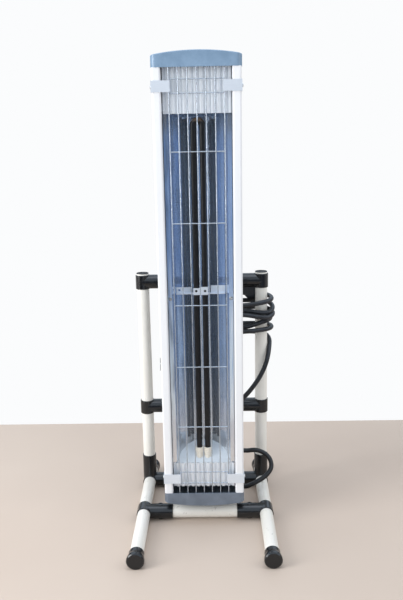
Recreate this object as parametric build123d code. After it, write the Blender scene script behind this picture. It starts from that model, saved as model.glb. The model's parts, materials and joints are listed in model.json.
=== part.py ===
from build123d import *
import math
import os

# Free-standing far-infrared heater tower: a tall slim heater head, hinged at mid-height on a frame
# of 28 mm plastic-coated steel pipe with glued moulded joints. Millimetres, +Z up, +X to the right
# as seen from the front, +Y to the back. The origin is on the floor, at the middle of the stand.

os.makedirs("parts", exist_ok=True)

# ---------------------------------------------------------------- driving sizes: pipe frame
pipe_diameter = 28.0
pipe_wall = 1.7
glue_gap = 0.1             # radial room for the glue between a pipe and its joint
runner_spacing = 270.0     # centre to centre of the two runners
stand_length = 408.0       # over the foot caps
upright_y = 129.0          # uprights and the two upper cross pipes
front_cross_y = -18.0
upright_top = 529.0
middle_cross_z = 209.0
upper_cross_z = 510.0

foot_cap_diameter = 36.0
foot_cap_rim_diameter = 31.4
foot_cap_length = 28.0
foot_cap_end = 3.0
foot_flat_depth = 0.4      # narrow flat that the cap stands on

sleeve_diameter = 32.0     # moulded joint, outside
collar_length = 32.0       # the ring round the pipe that passes through
arm_reach = 64.0           # from the ring's centre to the arm's mouth
socket_depth = 38.0
base_sleeve_top = 85.0     # top of the upright's socket, above the floor
joint_rim_radius = 1.2
boss_diameter = 12.0
boss_rise = 0.8
boss_offset = 36.0
seam_width = 0.9
seam_depth = 0.6
gusset_leg = 42.0
gusset_thickness = 7.0
end_plug_rise = 1.6

# ---------------------------------------------------------------- driving sizes: rail and hinge
rail_width = 50.0
rail_depth = 12.0
rail_thickness = 2.0
rail_bottom = 178.0
rail_top = 545.0
rail_slot_pitch = 25.0
rail_slot_length = 14.0
rail_slot_width = 7.0
saddle_width = 23.0
saddle_thickness = 2.0
saddle_ear = 16.0
saddle_gap = 0.2
bolt_diameter = 6.0
bolt_clearance = 0.3
bolt_head = 10.0
bolt_head_height = 4.0
saddle_bolt_offset = 24.5  # from a cross pipe's centre
yoke_bolt_x = 17.5
yoke_bolt_z = 19.0
hinge_y = 68.0             # the tilt pivot
hinge_z = 510.0
hinge_bolt_diameter = 8.0
hinge_running_gap = 0.05
hinge_plate = 2.5
hinge_ear_radius = 14.0
yoke_half_width = 32.0     # outside of the fixed ears
yoke_height = 48.0
ear_gap = 0.4              # side play between a fixed ear and the head's ear
knob_diameter = 34.0
knob_height = 14.0
knob_lobes = 6

# ---------------------------------------------------------------- driving sizes: heater head
head_bottom = 52.0
head_top = 980.0
head_half_width = 84.5
head_front = -57.0         # front of the two side rails
head_depth = 90.0
cap_overhang = 1.2         # how far a cap stands proud of the rails
cap_height = 22.0          # at the sides
cap_crown = 8.0            # extra height at the middle of the arched face
cap_wall = 2.5
cap_corner = 11.0
cap_edge = 2.0
rail_face = 17.6           # width of a white side rail, seen from the front
rail_side = 58.0
rail_wall = 1.5
rail_corner = 4.0
rail_lip = 9.0
housing_wall = 1.0
housing_slope = 22.5       # how much narrower than the head the flat back is, on each side
housing_fold_y = 10.0      # where the sides turn towards the back
housing_seat = 14.0        # how far the housing reaches into each cap
rivet_diameter = 4.0
rivet_y = -8.0
rivets_each_side = 5
rivet_end = 34.0           # from a cap's inner edge to the first rivet
sheet_gap = 0.3

reflector_wall = 0.8
reflector_lip_room = 0.9   # from a rail's inner edge to the reflector's lip
reflector_lip = 8.6
reflector_lip_y = -41.0
reflector_flank_lean = 7.4
reflector_flank_y = -18.0
reflector_fold_y = -2.0
reflector_back_y = 7.0
reflector_fold_mid = 35.0
reflector_fold_inner = 16.0
reflector_top_gap = 75.0   # from the head's top
reflector_bottom_gap = 68.0

shield_edge_gap = 0.6      # how much narrower than the reflector's lips a shield is
shield_y = -44.3
shield_wall = 0.8
shield_rib_pitch = 10.5
shield_rib_depth = 3.0
upper_shield_reach = 113.0 # from the head's top to the upper shield's lower edge
lower_shield_reach = 94.0  # from the head's bottom to the lower shield's upper edge
lower_shield_length = 54.0
end_plate_wall = 1.0
end_plate_rise = 34.0      # how much higher the sloped plate is at its back
end_plate_back = 10.0
end_plate_gap = 20.0       # from the element's bend to the upper plate

guard_wire = 2.2
guard_pitch = 17.5
guard_columns = 7
guard_y = -54.0
guard_end_gap = 4.0        # from a cap's inner edge to the wire ends
guard_weld = 0.15          # share of a wire sunk where two wires are welded
guard_row_end = 0.6        # how far a cross wire runs past the outer wires
guard_rows = (-284.0, -152.0, -22.0, 143.0, 280.0)
guard_end_rows = 12.7      # from a clip's middle to the cross wires above and below it

clip_height = 21.0
clip_wall = 1.0
clip_side = 22.0
clip_end = 34.0            # from a cap's inner edge to a clip's middle
clip_hook_depth = 3.2
clip_hook_return = 3.4
clip_screw = 4.0
clip_screw_y = -46.0

element_diameter = 12.0
element_pitch = 18.0
element_y = -24.0
element_top_gap = 119.0    # from the head's top to the bend
element_bottom_gap = 76.0
element_gap = 0.3
holder_diameter = 17.4
holder_length = 14.0
holder_head = 11.0

support_height = 15.5      # right arm
support_left_height = 12.3
support_y = -20.0
support_clip_gap = 2.0     # in front of the legs
support_wall = 1.0
support_rise = 5.0         # how far the support lies above the head's middle
support_hole = 5.0
support_hole_x = 44.0
arm_inner = 20.5           # where an arm of the support ends beside the legs
clip_half = 15.0
stud_length = 16.0
stud_diameter = 4.0
side_screw_inset = 4.6     # from a lip's outer edge
side_screw_drop = 10.0     # below the head's middle
stay_end_low = 98.0        # from the head's bottom to the lowest stays
stay_end_high = 100.0
stay_wall = 1.2
stay_half_height = 7.0

switch_box_x = 34.0        # middle of the box on the back
switch_box_width = 84.0
switch_box_height = 72.0
switch_box_depth = 31.0
switch_box_bottom = 384.0
switch_box_wall = 1.2
rocker_y = 48.0
rocker_share = 0.55        # how far up the box's side the rocker sits
rocker_frame_y = 8.0
rocker_frame_z = 12.5
rocker_half_y = 5.8
rocker_half_z = 9.4
rocker_throw = 16.0        # degrees between off and on
gland_x = 50.0
gland_y = 48.0
gland_thread = 20.0
gland_hex = 24.0
gland_length = 25.0
tip_x = 14.0               # from the box's left side
tip_depth = 14.0
tip_pivot = 31.0
lead_diameter = 3.2
lead_back_y = 21.0
lead_entry_z = 440.0

# ---------------------------------------------------------------- driving sizes: supply cord
cord_diameter = 10.6
plug_diameter = 36.0
plug_sleeve = 24.0
plug_length = 62.0
coil_front_y = 96.0
coil_back_y = 152.0
coil_left = -46.0
coil_radius = 26.0
coil_left_drop = 6.0
coil_right = (160.0, 164.0, 163.0, 159.0, 157.0)
coil_rear_right = (488.0, 452.0, 438.0, 424.0, 410.0)
coil_front_right = (476.0, 442.0, 428.5, 416.5, 403.0)
coil_middle = 88.0         # where the front strands bend between the head and the upright
coil_front_middle = (459.0, 447.0, 435.5, 413.5, 402.0)
coil_front_left = (456.0, 444.5, 433.0, 416.0, 401.0)
coil_start = (4.0, 152.0, 481.0)
coil_last_corner = (163.0, 150.0, 384.0)
tail_first_run = 1.33
tail_route = [(-80.0, 156.0, 440.0), (-86.0, 158.0, 392.0), (-86.0, 158.0, 350.0)]

head_mid = (head_bottom + head_top) / 2
head_back = head_front + head_depth
head_length = head_top - head_bottom
clip_offset = head_length / 2 - cap_crown - cap_height - clip_end
rivet_offset = head_length / 2 - cap_crown - cap_height - rivet_end
housing_back_half = head_half_width - housing_slope
reflector_lip_half = head_half_width - rail_face - reflector_lip_room
reflector_mouth_half = reflector_lip_half - reflector_lip
reflector_top = head_top - reflector_top_gap
reflector_bottom = head_bottom + reflector_bottom_gap
shield_half_width = reflector_lip_half - shield_edge_gap
upper_shield_edge = head_top - upper_shield_reach
lower_shield_edge = head_bottom + lower_shield_reach
lower_shield_bottom = lower_shield_edge - lower_shield_length
element_top = head_top - element_top_gap
element_bottom = head_bottom + element_bottom_gap
side_screw_x = reflector_lip_half - side_screw_inset
side_screw_z = head_mid - side_screw_drop
stay_heights = (head_bottom + stay_end_low, side_screw_z, head_top - stay_end_high)
runner_x = runner_spacing / 2
runner_z = foot_cap_diameter / 2 - foot_flat_depth
pipe_radius = pipe_diameter / 2
sleeve_radius = sleeve_diameter / 2


# The cord's free route, from the gland down behind the head, over the right runner, up and round.
gland_tip_z = switch_box_bottom + switch_box_wall - gland_length
lower_route = [
    (gland_x, gland_y, gland_tip_z), (gland_x, gland_y, 312.0), (46.0, 53.0, 240.0), (43.0, 58.0, 165.0),
    (43.0, 59.5, 95.0), (56.0, 52.0, 44.0), (88.0, 40.0, 24.0), (120.0, 45.0, 42.0), (150.0, 54.0, 50.0),
    (167.0, 66.0, 72.0), (160.0, 78.0, 104.0), (128.0, 86.0, 122.0), (92.0, 88.0, 112.0), (58.0, 86.0, 126.0),
    (42.0, 86.0, 160.0), (56.0, 88.0, 194.0), (92.0, 90.0, 214.0), (128.0, 92.0, 246.0), (152.0, 103.0, 288.0),
    (158.0, 118.0, 330.0)]


# ---------------------------------------------------------------- small helpers
def save(name, shape):
    """Write one sub-part; a list becomes a group of separate solids."""
    if isinstance(shape, (list, tuple)):
        shape = Compound(children=list(shape))
    export_step(shape, f"parts/{name}.step")


def block(x0, x1, y0, y1, z0, z1):
    """A box between two corners."""
    return Pos((x0 + x1) / 2, (y0 + y1) / 2, (z0 + z1) / 2) * Box(x1 - x0, y1 - y0, z1 - z0)


def rod(start, end, radius):
    """A round bar between two points."""
    line = Vector(*end) - Vector(*start)
    place = Plane(origin=start, z_dir=line)
    return place * extrude(Circle(radius), line.length)


def rounded_rod(start, end, radius, rim):
    """A round bar whose end edges are rounded."""
    bar = rod(start, end, radius)
    return fillet(bar.edges().filter_by(GeomType.CIRCLE), rim)


def pipe(start, end):
    """One length of coated pipe."""
    return rod(start, end, pipe_radius) - rod(start, end, pipe_radius - pipe_wall)


def mirrored(shape):
    """The same piece on the other side of the object."""
    return mirror(shape, about=Plane.YZ)


def parallel(points, gap):
    """The same line, moved gap to its left, with mitred corners."""
    moved = []
    count = len(points)
    for i, (x, y) in enumerate(points):
        before = points[max(i - 1, 0)]
        after = points[min(i + 1, count - 1)]
        first = Vector(x - before[0], y - before[1]) if i > 0 else None
        second = Vector(after[0] - x, after[1] - y) if i < count - 1 else None
        first = (first or second).normalized()
        second = (second or first).normalized()
        left = Vector(-first.Y - second.Y, first.X + second.X).normalized()
        reach = gap / (left.X * -first.Y + left.Y * first.X)
        moved.append((x + left.X * reach, y + left.Y * reach))
    return moved


def sheet_profile(points, wall):
    """Section of a bent sheet whose one face is the given line; it lies to the line's left."""
    return make_face(Polyline(*points, *reversed(parallel(points, wall)), close=True))


def sheet_upright(points, wall, z0, z1):
    """Sheet bent about vertical lines, from z0 to z1."""
    return Pos(0, 0, z0) * extrude(sheet_profile(points, wall), z1 - z0)


# ---------------------------------------------------------------- pipe frame
def foot_cap(side, front):
    """Flared cap on a runner's end, with the narrow flat that it stands on."""
    out = -1 if front else 1
    tip = out * stand_length / 2
    profile = Polyline(
        (0, 0), (foot_cap_diameter / 2 - 2.0, 0), (foot_cap_diameter / 2, 2.0),
        (foot_cap_diameter / 2, foot_cap_length * 0.30), (foot_cap_rim_diameter / 2, foot_cap_length * 0.62),
        (foot_cap_rim_diameter / 2, foot_cap_length), (pipe_radius + glue_gap, foot_cap_length),
        (pipe_radius + glue_gap, foot_cap_end), (0, foot_cap_end), close=True)
    cap = revolve(make_face(Plane.XZ * profile), Axis.Z)
    place = Plane(origin=(side * runner_x, tip, runner_z), z_dir=(0, -out, 0), x_dir=(1, 0, 0))
    cap = place * cap
    floor = block(side * runner_x - 30, side * runner_x + 30, tip - 40, tip + 40, -30, 0)
    return cap - floor


def tee_body(reach):
    """Ring along local Z and an arm along local +X, before it is bored."""
    ring = rounded_rod((0, 0, -collar_length / 2), (0, 0, collar_length / 2), sleeve_radius, joint_rim_radius)
    arm = rounded_rod((0, 0, 0), (reach, 0, 0), sleeve_radius, joint_rim_radius)
    bosses = rod((boss_offset, -sleeve_radius - boss_rise, 0),
                 (boss_offset, sleeve_radius + boss_rise, 0), boss_diameter / 2)
    dimples = rod((boss_offset, -sleeve_radius - boss_rise, 0),
                  (boss_offset, sleeve_radius + boss_rise, 0), boss_diameter / 2 - 1.4)
    return ring + arm + (bosses - dimples)


def tee_cuts(reach):
    """Through bore, arm socket and the two mould seams along the arm."""
    bore = rod((0, 0, -collar_length), (0, 0, collar_length), pipe_radius + glue_gap)
    socket = rod((reach - socket_depth, 0, 0), (reach + 10, 0, 0), pipe_radius + glue_gap)
    seams = []
    for angle in (20, 200):
        cut = block(reach * 0.36, reach + 1, sleeve_radius - seam_depth, sleeve_radius + 1,
                    -seam_width / 2, seam_width / 2)
        seams.append(Rot(angle, 0, 0) * cut)
    return [bore, socket] + seams


def tee(centre, through, arm, gusset=False):
    """Moulded joint: a ring round the pipe that passes through, and one arm with a socket."""
    body = tee_body(arm_reach)
    if gusset:
        web = Plane.XZ * make_face(Polyline(
            (sleeve_radius - 2, -sleeve_radius + 3), (sleeve_radius + gusset_leg, -sleeve_radius + 3),
            (sleeve_radius, -sleeve_radius - gusset_leg), (sleeve_radius - 2, -sleeve_radius - gusset_leg),
            close=True))
        body = body + extrude(web, gusset_thickness / 2, both=True)
    for cut in tee_cuts(arm_reach):
        body = body - cut
    if gusset:
        body = body - rod((0, 0, -100), (0, 0, 100), pipe_radius + glue_gap)
    return Plane(origin=centre, x_dir=arm, z_dir=through) * body


def base_joint(side):
    """Joint at an upright's foot: a ring round the runner, a socket up and a socket inwards."""
    centre = Vector(side * runner_x, upright_y, runner_z)
    ring = rounded_rod((0, -collar_length / 2, 0), (0, collar_length / 2, 0), sleeve_radius, joint_rim_radius)
    up = rounded_rod((0, 0, 0), (0, 0, base_sleeve_top - runner_z), sleeve_radius, joint_rim_radius)
    inwards = rounded_rod((0, 0, 0), (-side * arm_reach, 0, 0), sleeve_radius, joint_rim_radius)
    body = ring + up + inwards
    body = body - rod((0, -collar_length, 0), (0, collar_length, 0), pipe_radius + glue_gap)
    body = body - rod((0, 0, sleeve_radius + 1), (0, 0, 100), pipe_radius + glue_gap)
    body = body - rod((-side * (arm_reach - socket_depth), 0, 0), (-side * 100, 0, 0), pipe_radius + glue_gap)
    return Pos(centre) * body


def end_plug(side):
    """Plug in the open top of an upright, with a thin rim on the pipe's end."""
    x = side * runner_x
    rim = rounded_rod((x, upright_y, upright_top), (x, upright_y, upright_top + end_plug_rise),
                      pipe_radius - 0.2, 0.6)
    dish = rod((x, upright_y, upright_top + end_plug_rise - 0.7), (x, upright_y, upright_top + 5),
               pipe_radius - pipe_wall - 1.0)
    stem = rod((x, upright_y, upright_top - 12), (x, upright_y, upright_top),
               pipe_radius - pipe_wall - glue_gap)
    hollow = rod((x, upright_y, upright_top - 13), (x, upright_y, upright_top - 1),
                 pipe_radius - pipe_wall - 2.0)
    return rim - dish + (stem - hollow)


def build_frame():
    """Runners, cross pipes, uprights and their joints, caps and plugs."""
    half = stand_length / 2 - foot_cap_end
    pipe_start = runner_x - arm_reach + socket_depth
    for side, name in ((-1, "left"), (1, "right")):
        x = side * runner_x
        save(f"runner_pipe_{name}", pipe((x, -half, runner_z), (x, half, runner_z)))
        save(f"upright_pipe_{name}", pipe((x, upright_y, runner_z + sleeve_radius + 1), (x, upright_y, upright_top)))
        save(f"front_tee_{name}", tee((x, front_cross_y, runner_z), (0, 1, 0), (-side, 0, 0)))
        save(f"base_joint_{name}", base_joint(side))
        save(f"middle_tee_{name}", tee((x, upright_y, middle_cross_z), (0, 0, 1), (-side, 0, 0)))
        save(f"upper_tee_{name}", tee((x, upright_y, upper_cross_z), (0, 0, 1), (-side, 0, 0), side > 0))
    save("foot_caps", [foot_cap(side, front) for side in (-1, 1) for front in (True, False)])
    save("upright_plugs", [end_plug(-1), end_plug(1)])
    for name, y, z in (("front_cross_pipe", front_cross_y, runner_z), ("rear_cross_pipe", upright_y, runner_z),
                       ("middle_cross_pipe", upright_y, middle_cross_z), ("upper_cross_pipe", upright_y, upper_cross_z)):
        save(name, pipe((-pipe_start, y, z), (pipe_start, y, z)))


# ---------------------------------------------------------------- heater head
def rail(z0, z1):
    """Right white side rail: an extruded channel with rounded front corners and a short lip."""
    outer = block(head_half_width - rail_face, head_half_width, head_front, head_front + rail_side, z0, z1)
    outer = fillet(outer.edges().filter_by(Axis.Z).group_by(Axis.Y)[0], rail_corner)
    inner = block(head_half_width - rail_face + rail_wall, head_half_width - rail_wall,
                  head_front + rail_wall, head_front + rail_side + 5, z0 - 1, z1 + 1)
    inner = fillet(inner.edges().filter_by(Axis.Z).group_by(Axis.Y)[0], rail_corner - rail_wall)
    opened = block(head_half_width - rail_face - 1, head_half_width - rail_face + rail_wall + 0.1,
                   head_front + rail_lip, head_front + rail_side + 5, z0 - 1, z1 + 1)
    return outer - inner - opened


def cap_solid(inset, crown_drop):
    """The end cap's outer form, drawn as a top cap, or its hollow when inset."""
    half = head_half_width + cap_overhang - inset
    front = head_front - cap_overhang + inset
    back = head_back + sheet_gap + cap_wall - inset
    base = head_top - cap_crown - cap_height
    shoulder = base + cap_height - crown_drop
    body = block(-half, half, front, back, base, head_top + 5)
    body = fillet(body.edges().filter_by(Axis.Z), cap_corner - inset)
    arch = make_face(Plane.XZ * (
        Line((-half - 1, base), (half + 1, base)) + Line((half + 1, base), (half + 1, shoulder))
        + ThreePointArc((half + 1, shoulder), (0, shoulder + cap_crown), (-half - 1, shoulder))
        + Line((-half - 1, shoulder), (-half - 1, base))))
    return body & extrude(arch, 200, both=True)


def end_cap():
    """Arched plastic cap that closes the head's top; the bottom one is its mirror image."""
    outer = cap_solid(0, 0)
    top = outer.faces().sort_by(Axis.Z)[-1]
    outer = fillet(top.edges(), cap_edge)
    return outer - cap_solid(cap_wall, cap_wall)


def housing(z0, z1):
    """Folded sheet-steel back of the head."""
    side_x = head_half_width - rail_wall - sheet_gap
    outer = [(side_x, head_front + 30), (side_x, housing_fold_y), (housing_back_half, head_back),
             (-housing_back_half, head_back), (-side_x, housing_fold_y), (-side_x, head_front + 30)]
    return sheet_upright(outer, housing_wall, z0, z1)


def reflector_line(shrink=0.0):
    """Plan line of the reflector's polished side, from right to left."""
    half = [(reflector_mouth_half - shrink, reflector_lip_y),
            (reflector_mouth_half - reflector_flank_lean - shrink, reflector_flank_y),
            (reflector_fold_mid - shrink, reflector_fold_y), (reflector_fold_inner, reflector_back_y - shrink)]
    return half + [(-x, y) for x, y in reversed(half)]


def reflector():
    """Faceted reflector with a flat lip along each side."""
    line = [(reflector_lip_half, reflector_lip_y)] + reflector_line() + [(-reflector_lip_half, reflector_lip_y)]
    sheet = sheet_upright(line[::-1], reflector_wall, reflector_bottom, reflector_top)
    for side in (-1, 1):
        sheet = sheet - rod((side * side_screw_x, -60, side_screw_z), (side * side_screw_x, 0, side_screw_z), 2.2)
    return sheet


def ribbed_shield(z0, z1):
    """Fluted light-metal shield in front of an end of the element."""
    count = round(2 * shield_half_width / shield_rib_pitch)
    pitch = 2 * shield_half_width / count
    line = []
    for i in range(count):
        x = shield_half_width - i * pitch
        line += [(x, shield_y), (x - pitch * 0.30, shield_y),
                 (x - pitch * 0.50, shield_y + shield_rib_depth), (x - pitch * 0.80, shield_y + shield_rib_depth)]
    line.append((-shield_half_width, shield_y))
    return sheet_upright(line, shield_wall, z0, z1)


def end_plate_front():
    """Where the sloped plate starts, just behind the lower shield."""
    return shield_y + shield_rib_depth + sheet_gap


def end_plate_z(y):
    """Height of the sloped plate at a given depth."""
    front = end_plate_front()
    return lower_shield_edge - 1 + end_plate_rise * (y - front) / (end_plate_back - front)


def lower_end_plate():
    """Sloped bright plate that closes the reflector's lower end, with a hole for each leg."""
    plan = Polyline(*reflector_line(sheet_gap), close=True)
    column = Pos(0, 0, head_bottom) * extrude(make_face(plan), head_length / 2)
    front = end_plate_front()
    slope = [(end_plate_back, end_plate_z(end_plate_back)), (front, end_plate_z(front))]
    slab = extrude(Plane.YZ * sheet_profile(slope, end_plate_wall), head_half_width, both=True)
    plate = column & slab
    for side in (-1, 1):
        x = side * element_pitch / 2
        plate = plate - rod((x, element_y, head_bottom), (x, element_y, head_mid), holder_diameter / 2 - 1.0)
    return plate


def upper_end_plate():
    """Flat plate across the reflector's upper end."""
    plan = Polyline(*reflector_line(sheet_gap), close=True)
    return Pos(0, 0, element_top + end_plate_gap) * extrude(make_face(plan), end_plate_wall)


def wire_guard():
    """Welded wire grille in front of the reflector."""
    z0 = head_bottom + cap_crown + cap_height - guard_end_gap
    z1 = head_top - cap_crown - cap_height + guard_end_gap
    half = guard_pitch * (guard_columns - 1) / 2
    radius = guard_wire / 2
    wires = [rod((-half + i * guard_pitch, guard_y, z0), (-half + i * guard_pitch, guard_y, z1), radius)
             for i in range(guard_columns)]
    row_y = guard_y + guard_wire * (1 - guard_weld)
    end = half + guard_row_end
    heights = list(guard_rows)
    for middle in (-clip_offset, clip_offset):
        heights += [middle - guard_end_rows, middle + guard_end_rows]
    rows = [rod((-end, row_y, head_mid + z), (end, row_y, head_mid + z), radius) for z in heights]
    return Solid.fuse(wires[0].solid(), *[w.solid() for w in wires[1:] + rows])


def guard_clip(z):
    """Right spring clip: from the rail's side, across its front, hooked round the outer wire."""
    side_x = head_half_width + sheet_gap
    front = head_front - sheet_gap
    hook = guard_pitch * (guard_columns - 1) / 2 - guard_wire / 2 - sheet_gap
    line = [(side_x, head_front + clip_side), (side_x, front), (hook, front), (hook, guard_y + clip_hook_depth),
            (hook + clip_hook_return, guard_y + clip_hook_depth)]
    sheet = sheet_upright(line, clip_wall, z - clip_height / 2, z + clip_height / 2)
    return sheet - rod((side_x - 5, clip_screw_y, z), (side_x + 5, clip_screw_y, z), clip_screw / 2 + 0.1)


def pan_screw(start, direction, shank, radius, head_radius, head_height):
    """Pan-head screw whose head sits on start and whose shank runs along direction."""
    start = Vector(*start)
    direction = Vector(*direction)
    head = rounded_rod(tuple(start - direction * head_height), tuple(start), head_radius, head_height * 0.3)
    return head + rod(tuple(start - direction * head_height * 0.5), tuple(start + direction * shank), radius)


def heating_element():
    """Hairpin sheathed element: two legs joined by a half turn at the top, with a stud on each leg."""
    radius = element_diameter / 2
    bend = element_pitch / 2
    turn_z = element_top - radius - bend
    turn = revolve(Plane.XY * Pos(bend, 0) * Circle(radius), Axis.Y, -180)
    element = Pos(0, element_y, turn_z) * turn
    for x in (-bend, bend):
        element = element + rod((x, element_y, element_bottom), (x, element_y, turn_z), radius)
        element = element + rod((x, element_y, element_bottom - stud_length), (x, element_y, element_bottom + 1),
                                stud_diameter / 2)
    return element


def element_holders():
    """White ceramic bush round each leg, seated on the sloped plate."""
    holders = []
    seat = end_plate_z(element_y + holder_diameter / 2) + 1.6 * end_plate_wall
    z1 = seat + holder_head
    for x in (-element_pitch / 2, element_pitch / 2):
        bush = rod((x, element_y, seat - holder_length), (x, element_y, z1), holder_diameter / 2 - 1.3)
        flange = rounded_rod((x, element_y, seat), (x, element_y, z1), holder_diameter / 2, 0.8)
        bore = rod((x, element_y, z1 - 40), (x, element_y, z1 + 5), element_diameter / 2 + element_gap)
        holders.append(bush + flange - bore)
    return holders


def support_bottom():
    """Height of the support's lower edge."""
    return head_mid + support_rise - support_height / 2


def element_support():
    """Bright bracket across the middle: two arms joined by a lip that the legs pass through."""
    z0 = support_bottom()
    arm_end = reflector_width_at(support_y + support_wall) - sheet_gap
    lip_front = element_y - element_diameter / 2 - element_gap - support_clip_gap
    back = support_y + support_wall
    left_arm = block(-arm_end, -arm_inner, support_y, back, z0, z0 + support_left_height)
    right_arm = block(arm_inner, arm_end, support_y, back, z0, z0 + support_height)
    lip = block(-arm_end, arm_end, lip_front, back, z0, z0 + support_wall)
    for side in (-1, 1):
        lip = lip - rod((side * element_pitch / 2, element_y, z0 - 5), (side * element_pitch / 2, element_y, z0 + 5),
                        element_diameter / 2 + element_gap)
    hole_z = z0 + support_left_height / 2
    hole = rod((-support_hole_x, support_y - 5, hole_z), (-support_hole_x, back + 5, hole_z), support_hole / 2)
    return left_arm + right_arm + lip - hole


def element_clip():
    """Front plate of the support, with two round holes, one arm of it stepped up."""
    z0 = support_bottom()
    lip_front = element_y - element_diameter / 2 - element_gap - support_clip_gap
    plate = block(-clip_half, clip_half, lip_front - support_wall, lip_front, z0 - 1.5, z0 + support_height - 3.0)
    step = block(0.5, clip_half, lip_front - support_wall, lip_front, z0 + support_height - 4.0,
                 z0 + support_height - 0.5)
    foot = block(-clip_half, clip_half, lip_front - support_wall, lip_front + 1.6, z0 - 1.0, z0)
    plate = plate + step + foot
    for x in (-element_pitch / 2, element_pitch / 2):
        plate = plate - rod((x, -60, z0 + support_height * 0.42), (x, -20, z0 + support_height * 0.42),
                            support_hole / 2)
    return plate


def reflector_width_at(y):
    """Half width of the reflector's hollow at the given depth."""
    line = reflector_line()[:4]
    for (xa, ya), (xb, yb) in zip(line, line[1:]):
        if ya <= y <= yb:
            return xa + (xb - xa) * (y - ya) / (yb - ya)
    return line[-1][0]


def reflector_stays():
    """Bent sheet stays that carry the reflector's lips from the housing's sides."""
    side_x = head_half_width - rail_wall - sheet_gap - housing_wall - 0.2
    back = reflector_lip_y + reflector_wall + 0.05
    line = [(reflector_mouth_half + 2.4, back), (reflector_lip_half + 1.0, back),
            (side_x, head_front + 34), (side_x, head_front + 52)]
    stays = []
    for z in stay_heights:
        stay = sheet_upright(line, stay_wall, z - stay_half_height, z + stay_half_height)
        stay = stay - rod((side_screw_x, -60, z), (side_screw_x, 0, z), 1.9)
        stays += [stay, mirrored(stay)]
    return stays


def side_screws():
    """Screws that fix the reflector's lips, level with the middle stays."""
    return [pan_screw((side * side_screw_x, reflector_lip_y, side_screw_z), (0, 1, 0), 8, 1.85, 3.6, 2.2)
            for side in (-1, 1)]


# ---------------------------------------------------------------- rail, saddles and hinge
def mounting_rail():
    """Slotted steel channel between the two upper cross pipes."""
    back = upright_y - pipe_radius - saddle_gap
    half = rail_width / 2
    channel = block(-half, half, back - rail_depth, back, rail_bottom, rail_top)
    channel = fillet(channel.edges().filter_by(Axis.Z).group_by(Axis.Y)[-1], 2.5)
    hollow = block(-half + rail_thickness, half - rail_thickness, back - rail_depth - 1, back - rail_thickness,
                   rail_bottom - 1, rail_top + 1)
    channel = channel - hollow
    taken = [(z, saddle_bolt_offset + 14) for z in (middle_cross_z, upper_cross_z)]
    count = int((rail_top - rail_bottom) / rail_slot_pitch)
    first = (rail_top + rail_bottom) / 2 - (count - 1) * rail_slot_pitch / 2
    for i in range(count):
        z = first + i * rail_slot_pitch
        if all(abs(z - centre) > room for centre, room in taken):
            slot = Plane.XZ * Pos(0, z) * SlotOverall(rail_slot_length, rail_slot_width, rotation=90)
            channel = channel - Pos(0, back - 5, 0) * extrude(slot, 20, both=True)
    for x, z in rail_holes():
        channel = channel - rod((x, back - 20, z), (x, back + 20, z), bolt_diameter / 2 + bolt_clearance)
    return channel


def rail_holes():
    """Bolt places on the rail: two for each saddle and four for the yoke."""
    holes = [(0, z + step) for z in (middle_cross_z, upper_cross_z)
             for step in (-saddle_bolt_offset, saddle_bolt_offset)]
    return holes + yoke_holes()


def yoke_holes():
    """The four bolts of the hinge yoke."""
    return [(x, hinge_z + z) for x in (-yoke_bolt_x, yoke_bolt_x) for z in (-yoke_bolt_z, yoke_bolt_z)]


def saddle(z):
    """Strap that holds a cross pipe against the rail's back."""
    back = upright_y - pipe_radius - saddle_gap
    inner = pipe_radius + saddle_gap
    outer = inner + saddle_thickness
    strap = rod((-saddle_width / 2, upright_y, z), (saddle_width / 2, upright_y, z), outer)
    strap = strap + block(-saddle_width / 2, saddle_width / 2, back, upright_y, z - outer, z + outer)
    cut = rod((-saddle_width, upright_y, z), (saddle_width, upright_y, z), inner)
    cut = cut + block(-saddle_width, saddle_width, back - 40, upright_y, z - inner, z + inner)
    strap = strap - cut
    strap = strap - block(-saddle_width, saddle_width, back - 60, back, z - 60, z + 60)
    for step in (-1, 1):
        z0, z1 = sorted((z + step * (outer - 1), z + step * (outer + saddle_ear)))
        ear = block(-saddle_width / 2, saddle_width / 2, back, back + saddle_thickness, z0, z1)
        strap = strap + ear
        hole_z = z + step * saddle_bolt_offset
        strap = strap - rod((0, back - 5, hole_z), (0, back + 10, hole_z), bolt_diameter / 2 + bolt_clearance)
    return strap


def hex_bolt(start, direction, grip, radius, across, height):
    """Bolt with its nut run up: the head sits on start and the nut at grip along direction."""
    start = Vector(*start)
    direction = Vector(*direction)
    plane = Plane(origin=start, z_dir=direction)
    head = plane * extrude(RegularPolygon(across / 2, 6, major_radius=False), -height)
    shank = plane * extrude(Circle(radius), grip + height + 2)
    nut = plane * Pos(0, 0, grip) * extrude(RegularPolygon(across / 2, 6, major_radius=False), height)
    return head + shank + nut


def saddle_bolts():
    """Bolts of both saddles, heads inside the rail."""
    back = upright_y - pipe_radius - saddle_gap
    bolts = []
    for x, z in rail_holes()[:4]:
        bolts.append(hex_bolt((x, back - rail_thickness, z), (0, 1, 0), rail_thickness + saddle_thickness,
                              bolt_diameter / 2, bolt_head, bolt_head_height))
    return bolts


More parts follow.
